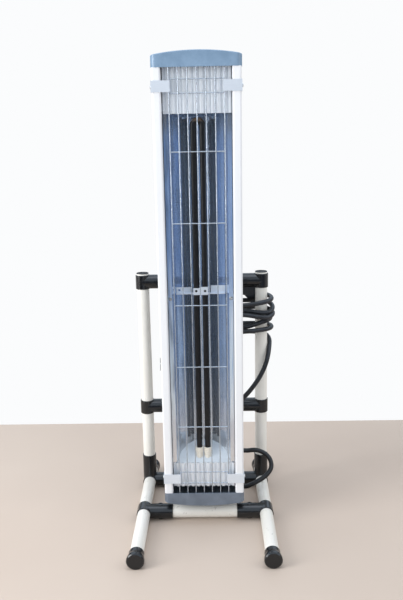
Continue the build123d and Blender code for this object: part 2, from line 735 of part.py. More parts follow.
def yoke():
    """U-shaped steel yoke bolted to the rail; its ears carry the hinge bolt."""
    base_y = upright_y - pipe_radius - saddle_gap - rail_depth
    z0 = hinge_z - yoke_height / 2
    base = block(-yoke_half_width, yoke_half_width, base_y - hinge_plate, base_y, z0, z0 + yoke_height)
    body = base
    for side in (-1, 1):
        x0, x1 = sorted((side * (yoke_half_width - hinge_plate), side * yoke_half_width))
        ear = block(x0, x1, hinge_y, base_y, z0, z0 + yoke_height)
        tip = rod((x0, hinge_y, hinge_z), (x1, hinge_y, hinge_z), hinge_ear_radius)
        wedge = Plane.YZ * make_face(Polyline(
            (hinge_y - 2, hinge_z - hinge_ear_radius), (base_y, z0), (base_y, z0 + yoke_height),
            (hinge_y - 2, hinge_z + hinge_ear_radius), close=True))
        ear = ear & (Pos(x0, 0, 0) * extrude(wedge, x1 - x0))
        body = body + ear + tip
    body = body - rod((-50, hinge_y, hinge_z), (50, hinge_y, hinge_z), hinge_bolt_diameter / 2 + hinge_running_gap)
    for x, z in yoke_holes():
        body = body - rod((x, base_y - 10, z), (x, base_y + 10, z), bolt_diameter / 2 + bolt_clearance)
    return body


def yoke_bolts():
    """Bolts from the yoke's base through the rail's web, each with a spacer tube between them."""
    base_y = upright_y - pipe_radius - saddle_gap - rail_depth
    bolts = []
    for x, z in yoke_holes():
        bolt = hex_bolt((x, base_y - hinge_plate, z), (0, 1, 0), hinge_plate + rail_depth,
                        bolt_diameter / 2, bolt_head - 1.0, bolt_head_height - 0.5)
        spacer = rod((x, base_y, z), (x, base_y + rail_depth - rail_thickness, z), bolt_head / 2 - 0.5)
        bolts.append(bolt + spacer)
    return bolts


def head_bracket():
    """The head's half of the hinge: a plate on its back with two ears inside the yoke's."""
    outer = yoke_half_width - hinge_plate - ear_gap
    z0 = hinge_z - yoke_height / 2
    body = block(-outer, outer, head_back, head_back + hinge_plate, z0, z0 + yoke_height)
    for side in (-1, 1):
        x0, x1 = sorted((side * (outer - hinge_plate), side * outer))
        wedge = Plane.YZ * make_face(Polyline(
            (head_back, z0), (hinge_y + 2, hinge_z - hinge_ear_radius), (hinge_y + 2, hinge_z + hinge_ear_radius),
            (head_back, z0 + yoke_height), close=True))
        body = body + (Pos(x0, 0, 0) * extrude(wedge, x1 - x0))
        body = body + rod((x0, hinge_y, hinge_z), (x1, hinge_y, hinge_z), hinge_ear_radius)
    body = body - rod((-50, hinge_y, hinge_z), (50, hinge_y, hinge_z), hinge_bolt_diameter / 2 + hinge_running_gap)
    for x, z in bracket_holes():
        body = body - rod((x, head_back - 10, z), (x, head_back + 10, z), 2.2)
    return body


def bracket_holes():
    """The four screws that fix the bracket to the head's back."""
    return [(x, hinge_z + z) for x in (-14, 14) for z in (-15, 15)]


def bracket_screws():
    """Screws from the bracket into the head's back."""
    return [pan_screw((x, head_back + hinge_plate, z), (0, -1, 0), 8, 2.0, 4.2, 2.4) for x, z in bracket_holes()]


def hinge_bolt():
    """Long hexagon bolt through both pairs of ears, out to the clamp knob."""
    start = Vector(-yoke_half_width - 0.1, hinge_y, hinge_z)
    plane = Plane(origin=start, z_dir=(1, 0, 0))
    head = plane * extrude(RegularPolygon(6.5, 6, major_radius=False), -5.3)
    return head + plane * extrude(Circle(hinge_bolt_diameter / 2), 2 * yoke_half_width + knob_height)


def clamp_knob():
    """Star knob on the hinge bolt's end."""
    x0 = yoke_half_width + 0.3
    plane = Plane(origin=(x0, hinge_y, hinge_z), z_dir=(1, 0, 0))
    disc = Circle(knob_diameter / 2)
    for i in range(knob_lobes):
        turn = 360 * i / knob_lobes
        disc = disc - Rot(0, 0, turn) * Pos(knob_diameter / 2 + 3.2, 0) * Circle(6.5)
    star = Pos(0, 0, 3) * extrude(disc, knob_height - 3)
    hub = extrude(Circle(knob_diameter / 2 - 7), knob_height)
    star = fillet(star.edges().group_by(Axis.Z)[-1], 1.2)
    knob = star + hub - Pos(0, 0, -1) * extrude(Circle(hinge_bolt_diameter / 2 + hinge_running_gap), knob_height + 5)
    return plane * knob


def build_head():
    """The heater head's shells, reflector, element, guard and their fixings."""
    z0 = head_bottom + cap_crown + cap_height
    z1 = head_top - cap_crown - cap_height
    side_rail = rail(z0, z1)
    for z in (head_mid - clip_offset, head_mid + clip_offset):
        side_rail = side_rail - rod((head_half_width - 5, clip_screw_y, z),
                                    (head_half_width + 5, clip_screw_y, z), clip_screw / 2 + 0.1)
    for z in rivet_heights():
        side_rail = side_rail - rivet_hole(1, z)
    save("side_rail_right", side_rail)
    save("side_rail_left", mirrored(side_rail))

    cap = end_cap()
    save("top_end_cap", cap)
    save("bottom_end_cap", Pos(0, 0, head_bottom + head_top) * mirror(cap, about=Plane.XY))

    back = housing(z0 - housing_seat, z1 + housing_seat)
    for side in (-1, 1):
        for z in rivet_heights():
            back = back - rivet_hole(side, z)
    for x, z in bracket_holes():
        back = back - rod((x, head_back - 10, z), (x, head_back + 10, z), 2.05)
    for x in lead_x():
        back = back - rod((x, head_back - 10, lead_entry_z), (x, head_back + 10, lead_entry_z),
                          lead_diameter / 2 + 0.6)
    save("rear_housing", back)
    rivets = []
    for z in rivet_heights():
        rivet = pan_screw((head_half_width, rivet_y, z), (-1, 0, 0), 4.5, rivet_diameter / 2, 3.2, 1.0)
        rivets += [rivet, mirrored(rivet)]
    save("side_rivets", rivets)

    save("reflector", reflector())
    save("reflector_stays", reflector_stays())
    save("side_screws", side_screws())
    save("upper_shield", ribbed_shield(upper_shield_edge, z1 + guard_end_gap))
    save("lower_shield", ribbed_shield(lower_shield_bottom, lower_shield_edge))
    save("upper_end_plate", upper_end_plate())
    save("lower_end_plate", lower_end_plate())
    save("wire_guard", wire_guard())
    clips = []
    screws = []
    for z in (head_mid - clip_offset, head_mid + clip_offset):
        clip = guard_clip(z)
        clips += [clip, mirrored(clip)]
        screw = pan_screw((head_half_width + sheet_gap + clip_wall, clip_screw_y, z), (-1, 0, 0), 7,
                          clip_screw / 2, 3.5, 2.2)
        screws += [screw, mirrored(screw)]
    save("guard_clips", clips)
    save("clip_screws", screws)
    save("heating_element", heating_element())
    save("element_holders", element_holders())
    save("element_support", element_support())
    save("element_clip", element_clip())


def rivet_heights():
    """Blind rivets along each side, evenly spaced."""
    pitch = 2 * rivet_offset / (rivets_each_side - 1)
    return [head_mid - rivet_offset + pitch * i for i in range(rivets_each_side)]


def rivet_hole(side, z):
    """Cutter for a rivet's hole through a side rail and the housing behind it."""
    return rod((side * (head_half_width - 5), rivet_y, z), (side * (head_half_width + 5), rivet_y, z),
               rivet_diameter / 2 + 0.05)


def build_hinge():
    """Rail, saddles, yoke, bracket, hinge bolt and knob."""
    save("mounting_rail", mounting_rail())
    save("pipe_saddles", [saddle(middle_cross_z), saddle(upper_cross_z)])
    save("hinge_yoke", yoke())
    save("rail_bolts", saddle_bolts() + yoke_bolts())
    save("head_bracket", head_bracket())
    save("bracket_screws", bracket_screws())
    save("hinge_bolt", hinge_bolt())
    save("clamp_knob", clamp_knob())


# ---------------------------------------------------------------- switch box on the head's back
def box_span():
    """Inside of the switch box: x0, x1, y0, y1, z0, z1."""
    y0 = head_back + sheet_gap + switch_box_wall
    return (switch_box_x - switch_box_width / 2 + switch_box_wall,
            switch_box_x + switch_box_width / 2 - switch_box_wall,
            y0, head_back + sheet_gap + switch_box_depth - switch_box_wall,
            switch_box_bottom + switch_box_wall, switch_box_bottom + switch_box_height - switch_box_wall)


def switch_box():
    """Steel tray on the head's back, open to the rear, with holes for the gland, rocker and leads."""
    x0, x1, y0, y1, z0, z1 = box_span()
    wall = switch_box_wall
    tray = block(x0 - wall, x1 + wall, y0 - wall, y1, z0 - wall, z1 + wall)
    tray = fillet(tray.edges().filter_by(Axis.Y), 3.0)
    tray = tray - block(x0, x1, y0, y1 + 5, z0, z1)
    rocker_z = z0 + (z1 - z0) * rocker_share
    tray = tray - block(x1 - 1, x1 + wall + 1, rocker_y - rocker_frame_y, rocker_y + rocker_frame_y,
                        rocker_z - rocker_frame_z, rocker_z + rocker_frame_z)
    tray = tray - rod((gland_x, gland_y, z0 - 5), (gland_x, gland_y, z0 + 1), gland_thread / 2 + 0.1)
    for x in lead_x():
        tray = tray - rod((x, y0 - 5, lead_entry_z), (x, y0 + 1, lead_entry_z), lead_diameter / 2 + 0.6)
    return tray


def switch_box_cover():
    """Flat cover with rounded corners and four dimpled screw heads."""
    x0, x1, y0, y1, z0, z1 = box_span()
    wall = switch_box_wall
    plate = block(x0 - wall, x1 + wall, y1, y1 + wall, z0 - wall, z1 + wall)
    plate = fillet(plate.edges().filter_by(Axis.Y), 3.0)
    for x in (x0 + 5, x1 - 5):
        for z in (z0 + 5, z1 - 5):
            plate = plate + pan_screw((x, y1 + wall, z), (0, -1, 0), 6, 1.6, 3.2, 1.8)
    return plate


def rocker_frame():
    """Bezel of the power switch, snapped into the box's right side."""
    x1 = box_span()[1]
    z = rocker_height()
    body = block(x1 - 8, x1 + switch_box_wall + 0.5, rocker_y - rocker_frame_y + 0.1, rocker_y + rocker_frame_y - 0.1,
                 z - rocker_frame_z + 0.1, z + rocker_frame_z - 0.1)
    bezel = block(x1 + switch_box_wall, x1 + switch_box_wall + 1.6, rocker_y - rocker_frame_y - 1.6,
                  rocker_y + rocker_frame_y + 1.6, z - rocker_frame_z - 1.6, z + rocker_frame_z + 1.6)
    bezel = fillet(bezel.edges().filter_by(Axis.X), 2.0)
    hole = block(x1 - 20, x1 + 20, rocker_y - rocker_half_y - 0.4, rocker_y + rocker_half_y + 0.4,
                 z - rocker_half_z - 1.3, z + rocker_half_z + 1.3)
    pins = rod((x1 - 2, rocker_y - 30, z), (x1 - 2, rocker_y + 30, z), 1.0 + hinge_running_gap)
    return body + bezel - hole - pins


def rocker_height():
    """Height of the rocker's pivot."""
    x0, x1, y0, y1, z0, z1 = box_span()
    return z0 + (z1 - z0) * rocker_share


def power_rocker():
    """Rocker of the power switch, at rest tilted to its off side."""
    x1 = box_span()[1]
    profile = Plane.XZ * make_face(Polyline(
        (-4.5, -6.0), (3.6, -rocker_half_z), (6.6, -rocker_half_z), (4.4, 0), (6.6, rocker_half_z),
        (3.6, rocker_half_z), (-4.5, 6.0), close=True))
    body = extrude(profile, rocker_half_y, both=True)
    body = fillet(body.edges().filter_by(Axis.Y).group_by(Axis.X)[-1], 0.8)
    body = body + rod((0, -rocker_half_y - 1.6, 0), (0, rocker_half_y + 1.6, 0), 1.0)
    return Pos(x1 - 2, rocker_y, rocker_height()) * Rot(0, rocker_throw / 2, 0) * body


def cable_gland():
    """Screwed gland under the box: thread, hexagon and domed nut, with the lead's hole."""
    z0 = box_span()[4]
    thread = rod((0, 0, -switch_box_wall - 1), (0, 0, 3.0), gland_thread / 2)
    nut = Pos(0, 0, 0.3) * extrude(RegularPolygon(gland_hex / 2, 6, major_radius=False), 2.7)
    hexagon = Pos(0, 0, -switch_box_wall - 6) * extrude(RegularPolygon(gland_hex / 2, 6, major_radius=False), 6)
    dome = revolve(make_face(Plane.XZ * Polyline(
        (0, -switch_box_wall - 6), (gland_hex / 2 - 0.8, -switch_box_wall - 6),
        (gland_hex / 2 - 0.8, -gland_length + 7), (cord_diameter / 2 + 1.8, -gland_length),
        (0, -gland_length), close=True)), Axis.Z)
    bore = rod((0, 0, -gland_length + 9), (0, 0, 10), cord_diameter / 2 + 0.4)
    mouth = rod((0, 0, -gland_length - 1), (0, 0, -gland_length + 9.5), cord_diameter / 2 - 0.4)
    return Pos(gland_x, gland_y, z0) * (thread + nut + hexagon + dome - bore - mouth)


def terminal_block():
    """Ceramic terminal block with three screw wells, on the box's floor plate."""
    x0, x1, y0, y1, z0, z1 = box_span()
    body = block(x0 + 6, x0 + 40, y0, y0 + 15, z1 - 26, z1 - 8)
    body = fillet(body.edges().filter_by(Axis.Y), 1.5)
    for i in range(3):
        x = x0 + 12 + i * 11
        body = body - rod((x, y0 + 8, z1 - 17), (x, y0 + 20, z1 - 17), 3.0)
        body = body + rod((x, y0 + 7.5, z1 - 17), (x, y0 + 11, z1 - 17), 2.4)
    for x in lead_x():
        body = body - rod((x, y0 - 1, lead_entry_z), (x, y0 + 9.1, lead_entry_z), lead_diameter / 2 + 0.05)
    return body


def tip_frame():
    """Frame of the tip-over switch: a back plate with two ears, and the contact block above."""
    x0, x1, y0, y1, z0, z1 = box_span()
    x = x0 + tip_x
    y = y0 + tip_depth
    z = z0 + tip_pivot
    body = block(x - 9, x + 9, y0, y0 + 1.5, z0 + 4, z + 5)
    for side in (-1, 1):
        a, b = sorted((x + side * 7.5, x + side * 9))
        body = body + block(a, b, y0, y + 4, z - 4, z + 5)
    body = body + block(x - 9, x + 9, y0, y0 + 9, z + 5, z + 11)
    return body - rod((x - 20, y, z), (x + 20, y, z), 1.0 + hinge_running_gap)


def tip_weight():
    """Pendulum of the tip-over switch, hanging from its pin."""
    x0, x1, y0, y1, z0, z1 = box_span()
    x = x0 + tip_x
    y = y0 + tip_depth
    z = z0 + tip_pivot
    pin = rod((x - 9, y, z), (x + 9, y, z), 1.0)
    arm = block(x - 2, x + 2, y - 0.8, y + 0.8, z - 17, z + 1)
    eye = rod((x - 3, y, z), (x + 3, y, z), 2.6)
    bob = rounded_rod((x - 6, y, z - 17), (x + 6, y, z - 17), 4.6, 0.8)
    return pin + arm + eye + bob


def lead_x():
    """Where the two inner leads run, behind the reflector."""
    return (-element_pitch / 2 + 12, element_pitch / 2 + 12)


def element_leads():
    """Two insulated leads from the element's studs, behind the reflector, up to the switch box."""
    leads = []
    y0 = box_span()[2]
    stud_z = element_bottom - stud_length + 3
    for stud_x, x in zip((-element_pitch / 2, element_pitch / 2), lead_x()):
        path = FilletPolyline(
            (stud_x, element_y + stud_diameter / 2 + 1.6, stud_z), (stud_x, 0, stud_z),
            (x, lead_back_y, stud_z), (x, lead_back_y, lead_entry_z), (x, y0 + 9, lead_entry_z),
            radius=6.0)
        start = Plane(origin=path @ 0, z_dir=path % 0)
        lead = sweep(start * Circle(lead_diameter / 2), path=path)
        ring = rod((stud_x, element_y, stud_z - 1), (stud_x, element_y, stud_z + 1), stud_diameter / 2 + 2.2)
        ring = ring - rod((stud_x, element_y, stud_z - 5), (stud_x, element_y, stud_z + 5), stud_diameter / 2)
        leads.append(lead + ring)
    return leads


def build_switch_box():
    """The box on the back with its rocker, gland, tip-over switch, terminals and leads."""
    save("switch_box", switch_box())
    save("switch_box_cover", switch_box_cover())
    save("rocker_frame", rocker_frame())
    save("power_rocker", power_rocker())
    save("cable_gland", cable_gland())
    save("terminal_block", terminal_block())
    save("tip_switch_frame", tip_frame())
    save("tip_switch_weight", tip_weight())
    save("element_leads", element_leads())


# ---------------------------------------------------------------- supply cord
def arc_radii(points):
    """One radius for each corner: as large as its two runs allow."""
    radii = []
    for before, here, after in zip(points, points[1:], points[2:]):
        run_in = Vector(*here) - Vector(*before)
        run_out = Vector(*after) - Vector(*here)
        turn = math.radians(run_in.get_angle(run_out))
        radii.append(0.45 * min(run_in.length, run_out.length) / math.tan(turn / 2))
    return radii


def cord_tube(points, radii):
    """Round cord along straight runs joined by tangent arcs."""
    path = FilletPolyline(*points, radius=radii)
    section = Plane(origin=path @ 0, z_dir=path % 0) * Circle(cord_diameter / 2)
    tube = sweep(section, path=path)
    expected = math.pi * cord_diameter ** 2 / 4 * path.length
    print(f"  length {path.length:.0f} mm, volume {tube.volume / expected:.4f} of section times length")
    print("  radii", " ".join(f"{radius:.0f}" for radius in radii))
    return tube, path


def coil_points():
    """Corners of the loops round the right upright and the rail, from the tail's end to the last turn."""
    points = [coil_start]
    for i, (rear, front) in enumerate(zip(coil_rear_right, coil_front_right)):
        x = coil_right[i]
        points += [(x, coil_back_y, rear), (x, coil_front_y, front),
                   (coil_middle, coil_front_y, coil_front_middle[i]),
                   (coil_left, coil_front_y, coil_front_left[i]),
                   (coil_left, coil_back_y, coil_front_left[i] - coil_left_drop)]
    points.append(coil_last_corner)
    return points


def along(start, end, share):
    """The point part of the way from start to end."""
    return tuple(a + (b - a) * share for a, b in zip(start, end))


def least_gap(path, diameter, step=3.0):
    """Smallest clear distance from a tube to another turn of itself."""
    count = int(path.length / step)
    spots = [path @ (i / count) for i in range(count + 1)]
    skip = int(3.2 * diameter / step)
    least = min((spots[i] - spots[j]).length for i in range(len(spots)) for j in range(i + skip, len(spots)))
    return least - diameter


def plug():
    """Rubber plug on the tail's end: tapered sleeve, round body, two flat blades and an earth pin."""
    x, y, z = tail_route[-1]
    profile = Plane.XZ * Polyline(
        (0, 0), (cord_diameter / 2 + 1.2, 0), (cord_diameter / 2 + 3.5, -plug_sleeve),
        (plug_diameter / 2 - 2, -plug_sleeve - 5), (plug_diameter / 2, -plug_sleeve - 9),
        (plug_diameter / 2, -plug_length), (0, -plug_length), close=True)
    body = revolve(make_face(profile), Axis.Z)
    body = body - Pos(0, 0, -plug_sleeve - 22) * (Cylinder(plug_diameter, 5) - Cylinder(plug_diameter / 2 - 1.5, 5))
    for side in (-1, 1):
        body = body + block(side * 6.35 - 0.8, side * 6.35 + 0.8, -3.2, 3.2, -plug_length - 17, -plug_length + 1)
    body = body + rod((0, 8.0, -plug_length + 1), (0, 8.0, -plug_length - 19), 2.4)
    return Pos(x, y, z) * body


def build_cord():
    """Supply cord: gland to coil, the coil, and the tail with its plug."""
    loops = coil_points()
    end = along(loops[-1], lower_route[-1], 0.5)
    loops.append(end)
    print("cord_coil")
    radii = [min(radius, coil_radius) for radius in arc_radii(loops)]
    coil, path = cord_tube(loops, radii)
    print(f"  least gap between turns {least_gap(path, cord_diameter):.2f} mm")
    save("cord_coil", coil)
    lower = lower_route + [end]
    print("cord_lower")
    save("cord_lower", cord_tube(lower, arc_radii(lower))[0])
    tail = [coil_start, along(loops[1], coil_start, tail_first_run)] + tail_route
    print("cord_tail")
    save("cord_tail", cord_tube(tail, arc_radii(tail))[0])
    save("plug", plug())


build_frame()
build_head()
build_hinge()
build_switch_box()
build_cord()
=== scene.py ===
"""Infrared patio heater tower: a tall heater head hinged on a frame of ivory coated pipe.

The scene is in metres, +Z up, +Y from the guard side to the back. Places and sizes of the cord, the
guard and the fasteners are written in millimetres and turned to metres by MM. What stands here gives
the finish of every surface, the supply cord at its real length and the fine detail of guard, screws
and rivets.
"""
import json
import math
from collections import namedtuple

import bmesh
import bpy
from mathutils import Matrix, Vector


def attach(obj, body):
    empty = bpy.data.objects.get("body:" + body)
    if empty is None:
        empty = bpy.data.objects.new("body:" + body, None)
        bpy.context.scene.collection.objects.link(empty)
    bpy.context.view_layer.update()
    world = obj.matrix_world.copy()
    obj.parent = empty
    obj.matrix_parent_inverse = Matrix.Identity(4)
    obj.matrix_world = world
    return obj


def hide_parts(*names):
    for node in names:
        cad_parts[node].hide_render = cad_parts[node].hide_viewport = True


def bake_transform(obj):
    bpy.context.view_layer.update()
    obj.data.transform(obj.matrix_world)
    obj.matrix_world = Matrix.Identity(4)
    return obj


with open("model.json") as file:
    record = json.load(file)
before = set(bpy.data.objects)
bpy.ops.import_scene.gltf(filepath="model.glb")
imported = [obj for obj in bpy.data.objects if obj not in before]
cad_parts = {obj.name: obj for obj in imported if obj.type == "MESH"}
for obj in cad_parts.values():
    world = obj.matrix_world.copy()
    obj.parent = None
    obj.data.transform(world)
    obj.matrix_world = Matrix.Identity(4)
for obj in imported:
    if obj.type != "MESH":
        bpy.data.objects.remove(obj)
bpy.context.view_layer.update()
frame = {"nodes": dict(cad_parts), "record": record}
MM = 0.001


# ---------------------------------------------------------------- colours, nodes and objects
def linear(hex_colour):
    """sRGB hex to a linear RGBA tuple."""
    parts = [int(hex_colour[i:i + 2], 16) / 255 for i in (1, 3, 5)]
    return tuple(c / 12.92 if c <= 0.04045 else ((c + 0.055) / 1.055) ** 2.4 for c in parts) + (1.0,)


def dimmed(hex_colour, share):
    """The linear RGBA tuple of a colour that keeps this share of its light."""
    return tuple(c * share for c in linear(hex_colour)[:3]) + (1.0,)


def connect(tree, node, inputs):
    """Sets or links inputs, {socket: value or what to link}; a node stands for its first output in use."""
    for name, source in inputs.items():
        if isinstance(source, bpy.types.Node):
            source = next(output for output in source.outputs if output.enabled)
        if isinstance(source, bpy.types.NodeSocket):
            tree.links.new(source, node.inputs[name])
        else:
            node.inputs[name].default_value = source


def add(tree, kind, inputs=None, stops=(), **settings):
    """Adds a node with its settings, its inputs and, on a colour ramp, its stops: [(place, hex colour)]."""
    made = tree.nodes.new(kind)
    for name, value in settings.items():
        setattr(made, name, value)
    connect(tree, made, inputs or {})
    if stops:
        elements = made.color_ramp.elements
        while len(elements) < len(stops):
            elements.new(0.5)
        for element, (place, colour) in zip(elements, stops):
            element.position = place
            element.color = linear(colour)
    return made


def material(name):
    """A new material with its Principled shader and its Object coordinates."""
    made = bpy.data.materials.new(name)
    made.use_nodes = True
    tree = made.node_tree
    shader = tree.nodes["Principled BSDF"]
    place = add(tree, "ShaderNodeTexCoord").outputs["Object"]
    return made, tree, shader, place


def per_metre(size_mm):
    """Texture scale whose feature is about this many millimetres; a wave has about three bands in that."""
    return 1000.0 / size_mm


def linked_object(name, data):
    """A new object of this data, linked to the scene."""
    made = bpy.data.objects.new(name, data)
    bpy.context.scene.collection.objects.link(made)
    return made


def mesh_object(name, mesh):
    """A new object of a bmesh, which is freed."""
    data = bpy.data.meshes.new(name)
    mesh.to_mesh(data)
    mesh.free()
    return linked_object(name, data)


# ---------------------------------------------------------------- materials
RESIN_IOR = 1.53
ELEMENT_HIGHLIGHT_FROM = 0.852      # heights between which the sheath's coat gives way to a painted brownish highlight on its crown
ELEMENT_HIGHLIGHT_TO = 0.858
PLUG_PINS_TOP = 0.288           # the plug hangs with its pins down, and below this height it is metal


def coated_pipe_resin():
    """Steel pipe with an extruded ivory resin coat: satin, faint draw marks, handling scuffs low down."""
    made, tree, shader, place = material("ivory_resin_coated_pipe")
    cloud = add(tree, "ShaderNodeTexNoise", {"Vector": place, "Scale": per_metre(90), "Detail": 2.0})
    coat = add(tree, "ShaderNodeMix", {"Factor": cloud, "A": linear("#f0f0ed"), "B": linear("#e4e2da")},
               data_type="RGBA")
    worn = add(tree, "ShaderNodeTexNoise", {
        "Vector": place, "Scale": per_metre(14), "Detail": 8.0, "Roughness": 0.7})
    marks = add(tree, "ShaderNodeValToRGB", {"Fac": worn}, [(0.60, "#000000"), (0.68, "#ffffff")])
    height = add(tree, "ShaderNodeSeparateXYZ", {"Vector": place}).outputs["Z"]
    low = add(tree, "ShaderNodeMapRange", {"Value": height, "From Min": 0.10, "From Max": 0.02})
    scuffs = add(tree, "ShaderNodeMath", {0: marks, 1: low}, operation="MULTIPLY")
    share = add(tree, "ShaderNodeMath", {0: scuffs, 1: 0.55}, operation="MULTIPLY")
    colour = add(tree, "ShaderNodeMix", {"Factor": share, "A": coat, "B": linear("#6d655c")},
                 data_type="RGBA")
    draw = add(tree, "ShaderNodeTexNoise", {"Vector": place, "Scale": per_metre(3), "Detail": 3.0})
    relief = add(tree, "ShaderNodeBump", {"Height": draw, "Distance": 0.12 * MM, "Strength": 0.5})
    connect(tree, shader, {"Base Color": colour, "Roughness": 0.32, "IOR": RESIN_IOR, "Normal": relief})
    return made


def moulded_joint_resin():
    """Glossy black injection-moulded joint: deep gloss, very slight waviness, a little dust."""
    made, tree, shader, place = material("black_moulded_joint_resin")
    dust = add(tree, "ShaderNodeTexNoise", {
        "Vector": place, "Scale": per_metre(6), "Detail": 9.0, "Roughness": 0.75})
    tone = add(tree, "ShaderNodeValToRGB", {"Fac": dust}, [(0.50, "#0c0e11"), (0.85, "#2c2f34")])
    haze = add(tree, "ShaderNodeMapRange", {"Value": dust, "To Min": 0.14, "To Max": 0.34})
    wave = add(tree, "ShaderNodeTexNoise", {"Vector": place, "Scale": per_metre(11), "Detail": 1.0})
    relief = add(tree, "ShaderNodeBump", {"Height": wave, "Distance": 0.25 * MM, "Strength": 0.35})
    connect(tree, shader, {"Base Color": tone, "Roughness": haze, "IOR": RESIN_IOR, "Normal": relief})
    return made


def powder_coat(name, colour, roughness):
    """Baked powder paint on sheet metal: even colour with a fine orange peel."""
    made, tree, shader, place = material(name)
    cloud = add(tree, "ShaderNodeTexNoise", {"Vector": place, "Scale": per_metre(120), "Detail": 2.0})
    tone = add(tree, "ShaderNodeMix", {"Factor": cloud, "A": linear(colour), "B": dimmed(colour, 0.93)},
               data_type="RGBA")
    peel = add(tree, "ShaderNodeTexNoise", {"Vector": place, "Scale": per_metre(1.8), "Detail": 2.0})
    relief = add(tree, "ShaderNodeBump", {"Height": peel, "Distance": 0.08 * MM, "Strength": 0.5})
    connect(tree, shader, {"Base Color": tone, "Roughness": roughness, "Normal": relief})
    return made


def cap_moulding():
    """Slate blue moulded ABS end cap: satin, spark-eroded grain, painted paler and bluer higher up as sky
    light.
    """
    made, tree, shader, place = material("slate_abs_end_cap")
    rub = add(tree, "ShaderNodeTexNoise", {
        "Vector": place, "Scale": per_metre(26), "Detail": 6.0, "Roughness": 0.6})
    lower_tone = add(tree, "ShaderNodeValToRGB", {"Fac": rub}, [(0.35, "#5f6977"), (0.75, "#727d8b")])
    # painted light: the paler, bluer tone mixed in higher up stands in for sky light on the upper cap
    painted_sky_lit_tone = add(tree, "ShaderNodeValToRGB", {"Fac": rub}, [(0.35, "#7590ab"), (0.75, "#8aa5c0")])
    height = add(tree, "ShaderNodeSeparateXYZ", {"Vector": place}).outputs["Z"]
    upper = add(tree, "ShaderNodeMapRange", {"Value": height, "From Min": 0.3, "From Max": 0.9})
    tone = add(tree, "ShaderNodeMix", {"Factor": upper, "A": lower_tone, "B": painted_sky_lit_tone}, data_type="RGBA")
    grain = add(tree, "ShaderNodeTexNoise", {"Vector": place, "Scale": per_metre(1.6), "Detail": 3.0})
    relief = add(tree, "ShaderNodeBump", {"Height": grain, "Distance": 0.10 * MM, "Strength": 0.4})
    connect(tree, shader, {"Base Color": tone, "Roughness": 0.33, "IOR": RESIN_IOR, "Normal": relief})
    return made


def rolled_reflector():
    """Bright anodised rolled aluminium: a hazy mirror with rolling lines and dents; painted reflections
    make it blue, and white low down.
    """
    made, tree, shader, place = material("bright_anodised_reflector")
    rolled = add(tree, "ShaderNodeMapping", {"Vector": place, "Scale": (1.0, 1.0, 0.02)})
    lines = add(tree, "ShaderNodeTexNoise", {"Vector": rolled, "Scale": per_metre(1.4), "Detail": 4.0})
    # painted reflection: the blue of this tone stands in for the blue room the mirror sees ahead
    tone = add(tree, "ShaderNodeValToRGB", {"Fac": lines}, [(0.30, "#a6c0e2"), (0.70, "#d2e0f2")])
    height = add(tree, "ShaderNodeSeparateXYZ", {"Vector": place}).outputs["Z"]
    # painted reflection: towards the bottom the colour turns warm white, standing in for the lit floor
    # mirrored there
    low = add(tree, "ShaderNodeMapRange", {
        "Value": height, "From Min": 0.36, "From Max": 0.12, "To Max": 0.85})
    colour = add(tree, "ShaderNodeMix", {"Factor": low, "A": tone, "B": linear("#eceae8")},
                 data_type="RGBA")
    drawn_out = add(tree, "ShaderNodeMapping", {"Vector": place, "Scale": (1.0, 1.0, 0.30)})
    dents = add(tree, "ShaderNodeTexNoise", {"Vector": drawn_out, "Scale": per_metre(34), "Detail": 1.5})
    relief = add(tree, "ShaderNodeBump", {"Height": dents, "Distance": 1.4 * MM, "Strength": 0.5})
    connect(tree, shader, {"Base Color": colour, "Metallic": 0.76, "Roughness": 0.09, "Normal": relief})
    return made


def painted_shade_sheet():
    """Steel above the element's bend, painted dark brown as shade with a brownish reflection, mottled and
    dulled.
    """
    made, tree, shader, place = material("painted_shade_steel")
    brown_mottle = add(tree, "ShaderNodeTexNoise", {"Vector": place, "Scale": per_metre(24), "Detail": 5.0})
    # painted shade: these dark browns stand in for shade and a brownish reflection above the element's bend
    tone = add(tree, "ShaderNodeValToRGB", {"Fac": brown_mottle}, [(0.35, "#3b322b"), (0.70, "#5a4c40")])
    relief = add(tree, "ShaderNodeBump", {"Height": brown_mottle, "Distance": 0.05 * MM, "Strength": 0.5})
    connect(tree, shader, {"Base Color": tone, "Metallic": 0.6, "Roughness": 0.55, "Normal": relief})
    return made


def brushed_stainless(name, colour, metallic, roughness, along):
    """Stainless sheet or wire with a directional grinding grain; along is the axis the grain follows."""
    made, tree, shader, place = material(name)
    scale = [0.03 if axis == along else 1.0 for axis in "XYZ"]
    drawn_out = add(tree, "ShaderNodeMapping", {"Vector": place, "Scale": scale})
    grain = add(tree, "ShaderNodeTexNoise", {"Vector": drawn_out, "Scale": per_metre(0.9), "Detail": 5.0})
    tone = add(tree, "ShaderNodeMix", {"Factor": grain, "A": linear(colour), "B": dimmed(colour, 0.86)},
               data_type="RGBA")
    haze = add(tree, "ShaderNodeMapRange", {
        "Value": grain, "To Min": roughness - 0.08, "To Max": roughness + 0.10})
    relief = add(tree, "ShaderNodeBump", {"Height": grain, "Distance": 0.03 * MM, "Strength": 0.5})
    connect(tree, shader, {"Base Color": tone, "Metallic": metallic, "Roughness": haze, "Normal": relief})
    return made


